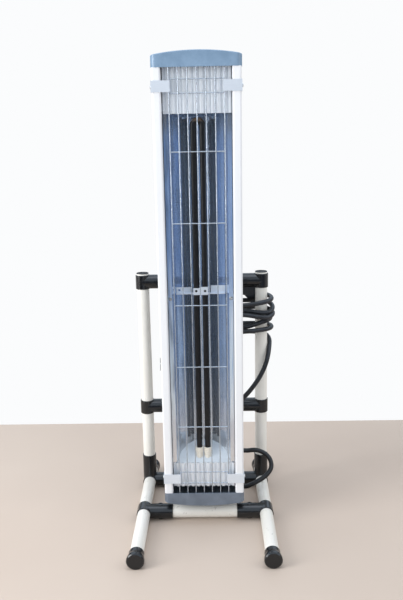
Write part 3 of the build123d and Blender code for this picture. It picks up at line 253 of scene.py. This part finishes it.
def element_sheath():
    """Heater sheath with a near-black far-infrared coat and a painted brownish highlight on the crown of
    its bend.
    """
    made, tree, shader, place = material("dark_coated_heater_sheath")
    speck = add(tree, "ShaderNodeTexNoise", {"Vector": place, "Scale": per_metre(5), "Detail": 7.0})
    dark = add(tree, "ShaderNodeValToRGB", {"Fac": speck}, [(0.35, "#0f0f10"), (0.70, "#1d1d20")])
    height = add(tree, "ShaderNodeSeparateXYZ", {"Vector": place}).outputs["Z"]
    # painted highlight: the light brown on the bend's crown stands in for light falling on its top
    crown = add(tree, "ShaderNodeMapRange", {
        "Value": height, "From Min": ELEMENT_HIGHLIGHT_FROM, "From Max": ELEMENT_HIGHLIGHT_TO})
    tone = add(tree, "ShaderNodeMix", {"Factor": crown, "A": dark, "B": linear("#7d6a59")},
               data_type="RGBA")
    relief = add(tree, "ShaderNodeBump", {"Height": speck, "Distance": 0.10 * MM, "Strength": 0.5})
    connect(tree, shader, {"Base Color": tone, "Metallic": 0.15, "Roughness": 0.36, "Normal": relief})
    return made


def glazed_ceramic():
    """Steatite holder: creamy white with a thin clear glaze."""
    made, tree, shader, place = material("glazed_steatite")
    speck = add(tree, "ShaderNodeTexNoise", {"Vector": place, "Scale": per_metre(2.5), "Detail": 5.0})
    tone = add(tree, "ShaderNodeValToRGB", {"Fac": speck}, [(0.30, "#e4dccb"), (0.60, "#f2eee4")])
    relief = add(tree, "ShaderNodeBump", {"Height": speck, "Distance": 0.05 * MM, "Strength": 0.4})
    connect(tree, shader, {"Base Color": tone, "Roughness": 0.30, "Coat Weight": 0.5, "Normal": relief})
    return made


def zinc_plate():
    """Zinc-plated pressed steel: dull silver with a faint crystal mottle and press marks."""
    made, tree, shader, place = material("zinc_plated_steel")
    crystal = add(tree, "ShaderNodeTexVoronoi", {"Vector": place, "Scale": per_metre(5)})
    tone = add(tree, "ShaderNodeValToRGB", {"Fac": crystal}, [(0.0, "#d9dbdc"), (0.8, "#b9bcbf")])
    fine = add(tree, "ShaderNodeTexNoise", {"Vector": place, "Scale": per_metre(1.2), "Detail": 4.0})
    relief = add(tree, "ShaderNodeBump", {"Height": fine, "Distance": 0.05 * MM, "Strength": 0.4})
    connect(tree, shader, {"Base Color": tone, "Metallic": 0.85, "Roughness": 0.38, "Normal": relief})
    return made


def moulded_plastic(name, colour, roughness, grain_mm, depth_mm):
    """Injection-moulded plastic with an eroded grain of a given size and depth."""
    made, tree, shader, place = material(name)
    grain = add(tree, "ShaderNodeTexNoise", {"Vector": place, "Scale": per_metre(grain_mm), "Detail": 4.0})
    tone = add(tree, "ShaderNodeMix", {"Factor": grain, "A": linear(colour), "B": dimmed(colour, 0.75)},
               data_type="RGBA")
    relief = add(tree, "ShaderNodeBump", {"Height": grain, "Distance": depth_mm * MM, "Strength": 0.5})
    connect(tree, shader, {"Base Color": tone, "Roughness": roughness, "Normal": relief})
    return made


def braided_sleeve():
    """Glass-fibre sleeve over a silicone lead: off-white diagonal braid with bands of about 2 mm."""
    made, tree, shader, place = material("glass_fibre_sleeve")
    braid = add(tree, "ShaderNodeTexWave", {"Vector": place, "Scale": per_metre(6.0), "Distortion": 0.4},
                wave_type="BANDS", bands_direction="DIAGONAL").outputs["Fac"]
    tone = add(tree, "ShaderNodeValToRGB", {"Fac": braid}, [(0.2, "#b7ae99"), (0.8, "#e6e0d2")])
    relief = add(tree, "ShaderNodeBump", {"Height": braid, "Distance": 0.25 * MM, "Strength": 0.8})
    connect(tree, shader, {"Base Color": tone, "Roughness": 0.8, "Normal": relief})
    return made


def turned_brass():
    """Turned brass weight: fine lathe rings and a warm shine."""
    made, tree, shader, place = material("turned_brass")
    rings = add(tree, "ShaderNodeTexWave", {"Vector": place, "Scale": per_metre(5.0)},
                wave_type="BANDS", bands_direction="X").outputs["Fac"]
    tone = add(tree, "ShaderNodeValToRGB", {"Fac": rings}, [(0.0, "#a8853f"), (1.0, "#c9a560")])
    relief = add(tree, "ShaderNodeBump", {"Height": rings, "Distance": 0.04 * MM, "Strength": 0.6})
    connect(tree, shader, {"Base Color": tone, "Metallic": 1.0, "Roughness": 0.30, "Normal": relief})
    return made


def cord_sheath():
    """Extruded rubber cord sheath: charcoal mottled by talc, darker towards the bottom, with a fine skin.
    """
    made, tree, shader, place = material("rubber_cord_sheath")
    talc = add(tree, "ShaderNodeTexNoise", {
        "Vector": place, "Scale": per_metre(18), "Detail": 7.0, "Roughness": 0.65})
    tone = add(tree, "ShaderNodeValToRGB", {"Fac": talc}, [(0.35, "#191b1f"), (0.80, "#373c45")])
    height = add(tree, "ShaderNodeSeparateXYZ", {"Vector": place}).outputs["Z"]
    # darker towards the bottom: over this height range the colour turns near black
    darker_low_share = add(tree, "ShaderNodeMapRange", {"Value": height, "From Min": 0.40, "From Max": 0.14})
    colour = add(tree, "ShaderNodeMix", {"Factor": darker_low_share, "A": tone, "B": linear("#0e0f12")},
                 data_type="RGBA")
    haze = add(tree, "ShaderNodeMapRange", {"Value": talc, "To Min": 0.32, "To Max": 0.52})
    skin = add(tree, "ShaderNodeTexNoise", {"Vector": place, "Scale": per_metre(1.3), "Detail": 3.0})
    relief = add(tree, "ShaderNodeBump", {"Height": skin, "Distance": 0.10 * MM, "Strength": 0.4})
    connect(tree, shader, {"Base Color": colour, "Roughness": haze, "Normal": relief})
    return made


def plug_and_pins():
    """Rubber plug body, dull and finely grained, with nickel-plated pins."""
    made, tree, shader, place = material("black_rubber_plug")
    grain = add(tree, "ShaderNodeTexNoise", {"Vector": place, "Scale": per_metre(1.5), "Detail": 4.0})
    rubber = add(tree, "ShaderNodeValToRGB", {"Fac": grain}, [(0.3, "#17191c"), (0.8, "#26282d")])
    height = add(tree, "ShaderNodeSeparateXYZ", {"Vector": place}).outputs["Z"]
    pins = add(tree, "ShaderNodeMath", {0: height, 1: PLUG_PINS_TOP}, operation="LESS_THAN")
    tone = add(tree, "ShaderNodeMix", {"Factor": pins, "A": rubber, "B": linear("#c9c6bd")},
               data_type="RGBA")
    dullness = add(tree, "ShaderNodeMapRange", {"Value": pins, "To Min": 0.55, "To Max": 0.25})
    relief = add(tree, "ShaderNodeBump", {"Height": grain, "Distance": 0.08 * MM, "Strength": 0.4})
    connect(tree, shader, {"Base Color": tone, "Metallic": pins, "Roughness": dullness, "Normal": relief})
    return made


def plain_floor():
    """Smooth pale studio floor with the slightest mottle."""
    made, tree, shader, place = material("pale_studio_floor")
    cloud = add(tree, "ShaderNodeTexNoise", {"Vector": place, "Scale": per_metre(625), "Detail": 3.0})
    tone = add(tree, "ShaderNodeValToRGB", {"Fac": cloud}, [(0.3, "#c5b6aa"), (0.7, "#cdbfb3")])
    connect(tree, shader, {"Base Color": tone, "Roughness": 0.65})
    return made


# ---------------------------------------------------------------- camera, floor, backdrop, lights
CAMERA_PLACE = (0.025, -1.317, 0.788)
CAMERA_PITCH = math.radians(12.59)      # looking down
CAMERA_YAW = math.radians(-1.055)       # turned left
CAMERA_ROLL = math.radians(1.1)         # upright lines lean left at the top
CAMERA_LENS = 38.7
FLOOR_HALF_WIDTH = 2.6
FLOOR_FRONT = -0.62
FLOOR_BACK = 0.51
# what gloss mirrors of the room in front and of its floor, by degrees to the right of straight ahead
ROOM_STOPS = [(-76, "#f2f5f8"), (-66, "#8fa0b8"), (-48, "#5c687b"), (-24, "#202e47"), (-6.2, "#1b2941"),
              (-4, "#7f99bd"), (1, "#8ca2c2"), (7, "#98adc9"), (14, "#8598b2"), (28, "#50688c"),
              (48, "#4a6180"), (66, "#8fa0b8"), (76, "#f2f5f8")]
FLOOR_STOPS = [(-60, "#d8cdc0"), (-30, "#8a8078"), (-6.2, "#4c4b4e"), (-4, "#fff6ea"), (2, "#fff6ea"),
               (8, "#aca7a3"), (14, "#918e8c"), (34, "#8a8078"), (60, "#d8cdc0")]
LOW_WALL = linear("#42382f")
OPEN_SKY = (1.05, 1.22, 1.42, 1.0)


def build_camera():
    """The photograph's view: chest high, a little right of the middle, looking down."""
    forward = Vector((math.sin(CAMERA_YAW) * math.cos(CAMERA_PITCH),
                      math.cos(CAMERA_YAW) * math.cos(CAMERA_PITCH), -math.sin(CAMERA_PITCH)))
    level = Vector((math.cos(CAMERA_YAW), -math.sin(CAMERA_YAW), 0))
    above = level.cross(forward)
    right = level * math.cos(CAMERA_ROLL) - above * math.sin(CAMERA_ROLL)
    up = level * math.sin(CAMERA_ROLL) + above * math.cos(CAMERA_ROLL)
    data = bpy.data.cameras.new("camera")
    data.sensor_fit = "VERTICAL"
    data.sensor_height = 36.0
    data.lens = CAMERA_LENS
    data.clip_end = 60
    camera = linked_object("camera", data)
    turn = Matrix((right, up, -forward)).transposed()
    camera.matrix_world = Matrix.Translation(CAMERA_PLACE) @ turn.to_4x4()
    bpy.context.scene.camera = camera


def build_stage():
    """A plain pale floor; behind its far edge stands the world's near-white."""
    mesh = bmesh.new()
    corners = ((-FLOOR_HALF_WIDTH, FLOOR_FRONT), (FLOOR_HALF_WIDTH, FLOOR_FRONT),
               (FLOOR_HALF_WIDTH, FLOOR_BACK), (-FLOOR_HALF_WIDTH, FLOOR_BACK))
    mesh.faces.new([mesh.verts.new((x, y, 0.0)) for x, y in corners])
    floor = mesh_object("studio_floor", mesh)
    floor.data.materials.append(plain_floor())


def softbox(name, place, aim, size, watts, colour="#ffffff"):
    """A rectangular soft lamp."""
    data = bpy.data.lights.new(name, "AREA")
    data.shape = "RECTANGLE"
    data.size, data.size_y = size
    data.energy = watts
    data.color = linear(colour)[:3]
    lamp = linked_object(name, data)
    lamp.location = place
    lamp.rotation_euler = (Vector(aim) - Vector(place)).to_track_quat("-Z", "Y").to_euler()


def room_seen_in_gloss(tree, way):
    """The room in front by direction: dark blue ahead, pale at the sides, sky above, floor below."""
    axis = add(tree, "ShaderNodeSeparateXYZ", {"Vector": way}).outputs
    ahead = add(tree, "ShaderNodeMath", {0: axis["Y"], 1: -1.0}, operation="MULTIPLY")
    azimuth = add(tree, "ShaderNodeMath", {0: axis["X"], 1: ahead}, operation="ARCTAN2")
    turn = add(tree, "ShaderNodeMapRange", {"Value": azimuth, "From Min": -math.pi, "From Max": math.pi})
    room_stops, floor_stops = ([(0.5 + degrees / 360, colour) for degrees, colour in stops]
                               for stops in (ROOM_STOPS, FLOOR_STOPS))
    seen = add(tree, "ShaderNodeValToRGB", {"Fac": turn}, room_stops)
    floor = add(tree, "ShaderNodeValToRGB", {"Fac": turn}, floor_stops)
    # each layer fades in between two values of the direction's upward part
    for low, high, layer in ((0.010, 0.050, LOW_WALL), (0.18, 0.34, OPEN_SKY), (-0.14, -0.30, floor)):
        share = add(tree, "ShaderNodeMapRange", {"Value": axis["Z"], "From Min": low, "From Max": high},
                    interpolation_type="SMOOTHSTEP")
        seen = add(tree, "ShaderNodeMix", {"Factor": share, "A": seen, "B": layer}, data_type="RGBA")
    return seen


def build_lights():
    """Side boxes, a weak overhead box, and a world that is near-white behind and a dim room in front."""
    softbox("left_softbox", place=(-1.7, -0.85, 1.0), aim=(0, 0, 0.4), size=(0.7, 1.6), watts=30)
    softbox("right_softbox", place=(1.6, -0.6, 1.2), aim=(0, 0, 0.5), size=(0.5, 1.6), watts=5)
    softbox("top_softbox", place=(0.0, -0.2, 2.4), aim=(0, 0.1, 0.4), size=(1.6, 1.2), watts=12,
            colour="#eef4ff")
    world = bpy.data.worlds.new("studio")
    bpy.context.scene.world = world
    world.use_nodes = True
    tree = world.node_tree
    tree.nodes.clear()
    room = room_seen_in_gloss(tree, add(tree, "ShaderNodeTexCoord").outputs["Generated"])
    ray = add(tree, "ShaderNodeLightPath").outputs
    backdrop = add(tree, "ShaderNodeBackground", {"Color": linear("#fbfcfd"), "Strength": 1.0})
    gloss = add(tree, "ShaderNodeBackground", {"Color": room, "Strength": 1.0})
    light = add(tree, "ShaderNodeBackground", {"Color": linear("#f2f5f8"), "Strength": 0.82})
    around = add(tree, "ShaderNodeMixShader", {0: ray["Is Glossy Ray"], 1: light, 2: gloss})
    whole = add(tree, "ShaderNodeMixShader", {0: ray["Is Camera Ray"], 1: around, 2: backdrop})
    add(tree, "ShaderNodeOutputWorld", {"Surface": whole})
    bpy.context.scene.view_settings.view_transform = "Standard"


# ---------------------------------------------------------------- supply cord
CORD_DIAMETER = 10.6 * MM
# the places from here on are millimetres: the source's route, fitted more closely where the photograph
# shows it, with its hidden drop from the gland up to 18 mm further back
GLAND_MOUTH = (50.0, 48.0, 360.2)
LOWER_ROUTE = [
    GLAND_MOUTH, (50.0, 66.0, 312.0), (46.0, 70.0, 240.0), (43.0, 70.0, 165.0),
    (43.0, 68.0, 100.0), (56.0, 58.0, 56.0), (86.0, 45.0, 36.0), (116.0, 45.0, 50.0),
    (142.0, 54.0, 62.0), (157.0, 66.0, 78.0), (151.0, 78.0, 100.0), (124.0, 86.0, 114.0),
    (92.0, 88.0, 108.0), (58.0, 86.0, 122.0), (42.0, 86.0, 158.0), (52.0, 88.0, 200.0),
    (82.0, 90.0, 230.0), (114.0, 93.0, 264.0), (140.0, 101.0, 304.0), (152.2, 112.0, 342.0)]
COIL_BACK_Y = 152.0
COIL_LEFT = -46.0
COIL_MIDDLE = 88.0
COIL_START = (4.0, 152.0, 481.0)
COIL_LAST_CORNER = (157.5, 150.0, 381.0)
# for each turn: right end; front strand's distance from the middle plane; heights at the right end, rear
# and front, at the middle, and at the left end, front and rear
COIL_TURNS = [
    (158.0, 94.0, 475.0, 464.0, 457.0, 458.0, 449.0),
    (161.0, 103.0, 462.0, 433.0, 447.0, 446.0, 437.0),
    (161.0, 92.5, 444.0, 426.0, 440.0, 435.5, 425.0),
    (156.0, 104.0, 428.0, 418.0, 401.5, 402.5, 401.5),
    (158.0, 94.0, 403.0, 402.0, 397.0, 396.0, 388.0)]
# the tail goes on past the coil's start by this share of the run from there to the first bend
TAIL_OVERRUN = 0.33
TAIL_ROUTE = [(-80.0, 156.0, 440.0), (-86.0, 158.0, 392.0), (-86.0, 158.0, 350.0)]


def bend_points(x, side, y_from, y_to, z_from, z_to):
    """Four points round the end of a loop, on the polygon that encloses its half circle."""
    middle = (y_from + y_to) / 2
    radius = abs(y_to - y_from) / 2
    reach = radius / math.cos(math.radians(22.5))
    centre = x - side * radius
    points = []
    for angle in (-67.5, -22.5, 22.5, 67.5):
        y = middle + math.copysign(1, y_to - y_from) * reach * math.sin(math.radians(angle))
        z = z_from + (z_to - z_from) * (angle + 90) / 180
        points.append((centre + side * reach * math.cos(math.radians(angle)), y, z))
    return points


def between(start, end, share):
    """The point part of the way from start to end."""
    return tuple(a + (b - a) * share for a, b in zip(start, end))


def coil_route():
    """The loops round the right upright and the rail, from the tail's end to the last turn."""
    route = []
    next_heights = [turn[2] for turn in COIL_TURNS[1:]] + [COIL_LAST_CORNER[2]]
    for turn, next_height in zip(COIL_TURNS, next_heights):
        right, front, rear_right, front_right, middle, front_left, rear_left = turn
        route += bend_points(right, 1, COIL_BACK_Y, front, rear_right, front_right)
        left = bend_points(COIL_LEFT, -1, front, COIL_BACK_Y, front_left, rear_left)
        route += [(COIL_MIDDLE, front, middle), between(route[-1], left[0], 0.67)]
        route += left
        target = bend_points(right, 1, COIL_BACK_Y, front, next_height, next_height)[0]
        route += [between(left[-1], target, share) for share in (0.33, 0.67)]
    return route + [COIL_LAST_CORNER]


def nurbs_tube(name, points, diameter):
    """A smooth curve with those control points in millimetres, as thick as diameter in metres."""
    data = bpy.data.curves.new(name, "CURVE")
    data.dimensions = "3D"
    spline = data.splines.new("NURBS")
    spline.points.add(len(points) - 1)
    for made, place in zip(spline.points, points):
        made.co = (*(Vector(place) * MM), 1.0)
    spline.order_u = 3
    spline.use_endpoint_u = True
    data.resolution_u = 8
    data.bevel_depth = diameter / 2
    data.bevel_resolution = 5
    data.use_fill_caps = diameter > 0
    return linked_object(name, data)


def as_mesh(source, name):
    """A plain mesh object of what source evaluates to; source is removed."""
    bpy.context.view_layer.update()
    evaluated = source.evaluated_get(bpy.context.evaluated_depsgraph_get())
    made = linked_object(name, bpy.data.meshes.new_from_object(evaluated))
    bpy.data.objects.remove(source)
    return made


def smooth(piece):
    """Smooth shading on every face."""
    for face in piece.data.polygons:
        face.use_smooth = True
    return piece


def build_cord(finish):
    """The rubber supply cord, from the gland behind the head to its plug."""
    coil = coil_route()
    tail = [between(COIL_START, coil[0], -share) for share in (TAIL_OVERRUN, 0.0)]
    route = TAIL_ROUTE[::-1] + tail + coil + LOWER_ROUTE[::-1]
    line = as_mesh(nurbs_tube("cord_line", route, 0), "cord_line")
    bpy.data.objects.remove(line)
    cord = smooth(as_mesh(nurbs_tube("supply_cord_curve", route, CORD_DIAMETER), "supply_cord"))
    cord.data.materials.append(finish)
    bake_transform(cord)
    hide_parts("cord_lower", "cord_coil", "cord_tail")


# ---------------------------------------------------------------- wire guard, in millimetres
HEAD_MIDDLE = 516.0
GUARD_COLUMNS = 7
GUARD_ROWS = (-412.7, -387.3, -284.0, -152.0, -22.0, 143.0, 280.0, 387.3, 412.7)   # from the head's middle
GUARD_ROW_Y = -52.13
GUARD_SIZES = {"Pitch": 17.5, "Bottom": 78.0, "Top": 954.0, "Cross Half": 53.1, "Wire Radius": 1.1,
               "Front": -54.0, "Bead Forward": -0.93}
SOCKET_KINDS = {"Finish": "NodeSocketMaterial", "Pattern": "NodeSocketObject", "Columns": "NodeSocketInt"}


def new_tree(name, sizes):
    """An empty Geometry Nodes tree with its named inputs; returns the tree and its inputs' sockets."""
    tree = bpy.data.node_groups.new(name, "GeometryNodeTree")
    tree.interface.new_socket("Geometry", in_out="INPUT", socket_type="NodeSocketGeometry")
    for size in sizes:
        kind = SOCKET_KINDS.get(size, "NodeSocketFloat")
        tree.interface.new_socket(size, in_out="INPUT", socket_type=kind)
    tree.interface.new_socket("Geometry", in_out="OUTPUT", socket_type="NodeSocketGeometry")
    return tree, add(tree, "NodeGroupInput").outputs


def close_tree(tree, geometry, finish):
    """Realizes the instances, sets the finish and joins them to the tree's output."""
    whole = add(tree, "GeometryNodeRealizeInstances", {0: geometry})
    faced = add(tree, "GeometryNodeSetMaterial", {"Geometry": whole, "Material": finish})
    add(tree, "NodeGroupOutput", {0: faced})
    return tree


def guard_tree():
    """Upright wires in a row, a cross wire on every point of the carrier, a weld bead at each crossing."""
    tree, given = new_tree("wire_guard_tree", ["Columns", *GUARD_SIZES, "Finish"])
    ring = add(tree, "GeometryNodeCurvePrimitiveCircle", {"Resolution": 12, "Radius": given["Wire Radius"]})
    last = add(tree, "ShaderNodeMath", {0: given["Columns"], 1: 1.0}, operation="SUBTRACT")
    span = add(tree, "ShaderNodeMath", {0: last, 1: given["Pitch"]}, operation="MULTIPLY")
    start = add(tree, "ShaderNodeMath", {0: span, 1: -0.5}, operation="MULTIPLY")
    places = add(tree, "GeometryNodeMeshLine", {
        "Count": given["Columns"],
        "Start Location": add(tree, "ShaderNodeCombineXYZ", {"X": start}),
        "Offset": add(tree, "ShaderNodeCombineXYZ", {"X": given["Pitch"]})})
    in_front = add(tree, "GeometryNodeSetPosition", {
        "Geometry": places, "Offset": add(tree, "ShaderNodeCombineXYZ", {"Y": given["Front"]})})
    upright = add(tree, "GeometryNodeCurvePrimitiveLine", {
        "Start": add(tree, "ShaderNodeCombineXYZ", {"Z": given["Bottom"]}),
        "End": add(tree, "ShaderNodeCombineXYZ", {"Z": given["Top"]})})
    rod = add(tree, "GeometryNodeCurveToMesh", {"Curve": upright, "Profile Curve": ring, "Fill Caps": True})
    uprights = add(tree, "GeometryNodeInstanceOnPoints", {"Points": in_front, "Instance": rod})
    minus = add(tree, "ShaderNodeMath", {0: given["Cross Half"], 1: -1.0}, operation="MULTIPLY")
    across = add(tree, "GeometryNodeCurvePrimitiveLine", {
        "Start": add(tree, "ShaderNodeCombineXYZ", {"X": minus}),
        "End": add(tree, "ShaderNodeCombineXYZ", {"X": given["Cross Half"]})})
    bar = add(tree, "GeometryNodeCurveToMesh", {"Curve": across, "Profile Curve": ring, "Fill Caps": True})
    bars = add(tree, "GeometryNodeInstanceOnPoints", {"Points": given["Geometry"], "Instance": bar})
    bead = add(tree, "GeometryNodeMeshIcoSphere", {"Subdivisions": 2, "Radius": given["Wire Radius"]})
    welds = add(tree, "GeometryNodeSetPosition", {
        "Geometry": places, "Offset": add(tree, "ShaderNodeCombineXYZ", {"Y": given["Bead Forward"]})})
    row = add(tree, "GeometryNodeInstanceOnPoints", {
        "Points": welds, "Instance": bead, "Scale": (1.25, 0.95, 1.25)})
    beads = add(tree, "GeometryNodeInstanceOnPoints", {"Points": given["Geometry"], "Instance": row})
    joined = add(tree, "GeometryNodeJoinGeometry")
    for part in (uprights, bars, beads):
        connect(tree, joined, {0: part})
    return close_tree(tree, joined, given["Finish"])


def carrier(name, points, outward=None):
    """A mesh of loose points, in millimetres, each with the way it faces."""
    data = bpy.data.meshes.new(name)
    data.from_pydata([tuple(Vector(point) * MM) for point in points], [], [])
    if outward:
        facing = data.attributes.new("outward", "FLOAT_VECTOR", "POINT")
        for i, way in enumerate(outward):
            facing.data[i].vector = way
    return linked_object(name, data)


def grown(source, tree, values, name):
    """The plain mesh that a tree makes of source with these input values."""
    modifier = source.modifiers.new("tree", "NODES")
    modifier.node_group = tree
    for item in tree.interface.items_tree:
        if item.in_out == "INPUT" and item.name in values:
            modifier[item.identifier] = values[item.name]
    made = as_mesh(source, name)
    if made.data.materials[0] is None:
        made.data.materials.pop(index=0)
    for face in made.data.polygons:
        face.material_index = 0
    return made


def build_guard(finish):
    """Welded wire guard: seven upright wires, nine cross wires behind them, weld beads."""
    points = carrier("guard_rows", [(0.0, GUARD_ROW_Y, HEAD_MIDDLE + height) for height in GUARD_ROWS])
    values = {name: size * MM for name, size in GUARD_SIZES.items()}
    values.update({"Columns": GUARD_COLUMNS, "Finish": finish})
    guard = smooth(grown(points, guard_tree(), values, "welded_wire_guard"))
    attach(guard, "head")
    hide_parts("wire_guard")


# ---------------------------------------------------------------- fasteners, in millimetres
Head = namedtuple("Head", "radius height shank_radius shank_length recess")
CLIP_SCREW = Head(radius=3.6, height=2.2, shank_radius=1.9, shank_length=6.0, recess=1.2)
SIDE_RIVET = Head(radius=3.2, height=1.0, shank_radius=1.9, shank_length=4.0, recess=0.0)
LIP_SCREW = Head(radius=3.6, height=2.2, shank_radius=1.8, shank_length=7.0, recess=1.2)
BRACKET_SCREW = Head(radius=4.2, height=2.4, shank_radius=1.9, shank_length=7.0, recess=1.4)
# a head's outline from its flat middle to its seat, as shares of its radius and its height
FLAT_MIDDLE = 0.30
CROWN = [(0.42, 1.0), (0.72, 0.92), (0.92, 0.66), (1.0, 0.30), (1.0, 0.0)]
RIVET_DIMPLE = 0.3
# a cross recess, as shares of the head's radius
SLOT_HALF_LENGTH = 0.55
SLOT_HALF_WIDTH = 0.13
# where each set sits: distance from the middle plane and depth, then its heights
CLIP_SCREW_PLACE = (86.0, -46.0)
SIDE_RIVET_PLACE = (84.5, -8.0)
LIP_SCREW_PLACE = (61.4, -41.0)
BRACKET_SCREW_PLACE = (14.0, 35.5)
CLIP_HEIGHTS = [HEAD_MIDDLE + height for height in (-400.0, 400.0)]
RIVET_HEIGHTS = [HEAD_MIDDLE + height for height in (-400.0, -200.0, 0.0, 200.0, 400.0)]
LIP_SCREW_HEIGHTS = [506.0]
BRACKET_HEIGHTS = [495.0, 525.0]
TO_THE_FRONT = (0.0, -1.0, 0.0)
TO_THE_BACK = (0.0, 1.0, 0.0)


def fastener_tree():
    """The pattern fastener on every point of the carrier, its axis along the point's outward vector."""
    tree, given = new_tree("fastener_tree", ["Pattern", "Finish"])
    pattern = add(tree, "GeometryNodeObjectInfo", {"Object": given["Pattern"]}).outputs["Geometry"]
    outward = add(tree, "GeometryNodeInputNamedAttribute", {"Name": "outward"}, data_type="FLOAT_VECTOR")
    turned = add(tree, "FunctionNodeAlignRotationToVector", {"Vector": outward}, axis="Z")
    placed = add(tree, "GeometryNodeInstanceOnPoints", {
        "Points": given["Geometry"], "Instance": pattern, "Rotation": turned})
    return close_tree(tree, placed, given["Finish"])


def cross_cutter(head):
    """Two crossed bars at the top of a head, which cut its recess."""
    mesh = bmesh.new()
    top = Matrix.Translation((0, 0, head.height * MM))
    for x, y in ((SLOT_HALF_LENGTH, SLOT_HALF_WIDTH), (SLOT_HALF_WIDTH, SLOT_HALF_LENGTH)):
        half_sizes = (x * head.radius * MM, y * head.radius * MM, head.recess * MM, 1.0)
        bmesh.ops.create_cube(mesh, size=2.0, matrix=top @ Matrix.Diagonal(half_sizes))
    return mesh_object("cross_slot", mesh)


def round_head(name, head):
    """A turned head on its shank, seated at z = 0: a screw's with a cross recess, a rivet's dimpled."""
    middle = head.height if head.recess > 0 else head.height - RIVET_DIMPLE
    profile = [(0.0, middle), (head.radius * FLAT_MIDDLE, middle)]
    profile += [(head.radius * across, head.height * up) for across, up in CROWN]
    profile += [(head.shank_radius, 0.0), (head.shank_radius, -head.shank_length)]
    profile.append((0.0, -head.shank_length))
    mesh = bmesh.new()
    line = [mesh.verts.new((radius * MM, 0.0, height * MM)) for radius, height in profile]
    edges = [mesh.edges.new(pair) for pair in zip(line, line[1:])]
    bmesh.ops.spin(mesh, geom=line + edges, axis=(0, 0, 1), cent=(0, 0, 0), angle=math.tau, steps=28)
    bmesh.ops.remove_doubles(mesh, verts=mesh.verts, dist=0.01 * MM)
    bmesh.ops.recalc_face_normals(mesh, faces=mesh.faces)
    made = mesh_object(name, mesh)
    if head.recess <= 0:
        return made
    cutter = cross_cutter(head)
    slotted = made.modifiers.new("slot", "BOOLEAN")
    slotted.operation = "DIFFERENCE"
    slotted.solver = "EXACT"
    slotted.use_self = True
    slotted.object = cutter
    result = as_mesh(made, name)
    bpy.data.objects.remove(cutter)
    return result


def both_sides(place, heights, facing=None):
    """Places on both sides of the middle plane, each with the way it faces: outwards if not given."""
    x, y = place
    return [((side * x, y, z), facing or (side, 0.0, 0.0)) for side in (-1.0, 1.0) for z in heights]


def build_fasteners(finish):
    """Rivets along the head, and the pan-head screws of clips, reflector and bracket."""
    tree = fastener_tree()
    sets = [("clip_pan_screws", "clip_screws", CLIP_SCREW, both_sides(CLIP_SCREW_PLACE, CLIP_HEIGHTS)),
            ("blind_rivets", "side_rivets", SIDE_RIVET, both_sides(SIDE_RIVET_PLACE, RIVET_HEIGHTS)),
            ("lip_pan_screws", "side_screws", LIP_SCREW,
             both_sides(LIP_SCREW_PLACE, LIP_SCREW_HEIGHTS, TO_THE_FRONT)),
            ("bracket_pan_screws", "bracket_screws", BRACKET_SCREW,
             both_sides(BRACKET_SCREW_PLACE, BRACKET_HEIGHTS, TO_THE_BACK))]
    for name, node, head, places in sets:
        points, outward = zip(*places)
        pattern = round_head(name + "_pattern", head)
        values = {"Pattern": pattern, "Finish": finish}
        piece = smooth(grown(carrier(name + "_places", points, outward), tree, values, name))
        bpy.data.objects.remove(pattern)
        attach(piece, "head")
        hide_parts(node)


# ---------------------------------------------------------------- finishes of the CAD nodes
def build_finishes():
    """Gives each carried-over node the material of its slot, and four sheets of the head their own."""
    finishes = {
        "black_joint": moulded_joint_resin(),
        "coated_pipe": coated_pipe_resin(),
        "white_rail": powder_coat("white_powder_coat", "#eff1f5", 0.38),
        "housing_paint": powder_coat("light_grey_powder_coat", "#d9dadb", 0.42),
        "cap_plastic": cap_moulding(),
        "mirror_reflector": rolled_reflector(),
        "stainless": brushed_stainless("brushed_stainless_sheet", "#e8f0fa", 0.40, 0.40, "X"),
        "guard_chrome": brushed_stainless("bright_plated_wire", "#c3ccd6", 0.85, 0.26, "Z"),
        "element_steel": element_sheath(),
        "ceramic": glazed_ceramic(),
        "zinc_steel": zinc_plate(),
        "knob_plastic": moulded_plastic("black_moulded_knob", "#1c1d20", 0.45, 1.4, 0.12),
        "rocker_plastic": moulded_plastic("red_polycarbonate_rocker", "#b3261e", 0.22, 9.0, 0.02),
        "gland_plastic": moulded_plastic("black_nylon", "#26282b", 0.50, 2.2, 0.08),
        "lead_sleeve": braided_sleeve(),
        "weight_brass": turned_brass(),
        "cord_rubber": cord_sheath(),
        "plug_rubber": plug_and_pins(),
    }
    slots = {row["node"]: row["material_slot"] for row in frame["record"]["subparts"]}
    for node, piece in frame["nodes"].items():
        piece.data.materials.clear()
        piece.data.materials.append(finishes[slots[node]])
    ribbed = brushed_stainless("bright_ribbed_stainless", "#f4f9ff", 0.30, 0.36, "Z")
    own = {"upper_end_plate": painted_shade_sheet(), "upper_shield": ribbed, "lower_shield": ribbed,
           "lower_end_plate": brushed_stainless("dull_stainless_sheet", "#d8dfe4", 0.40, 0.45, "X")}
    for node, finish in own.items():
        frame["nodes"][node].data.materials[0] = finish
    return finishes


build_camera()
build_stage()
build_lights()
finishes = build_finishes()
build_cord(finishes["cord_rubber"])
build_guard(finishes["guard_chrome"])
build_fasteners(finishes["zinc_steel"])
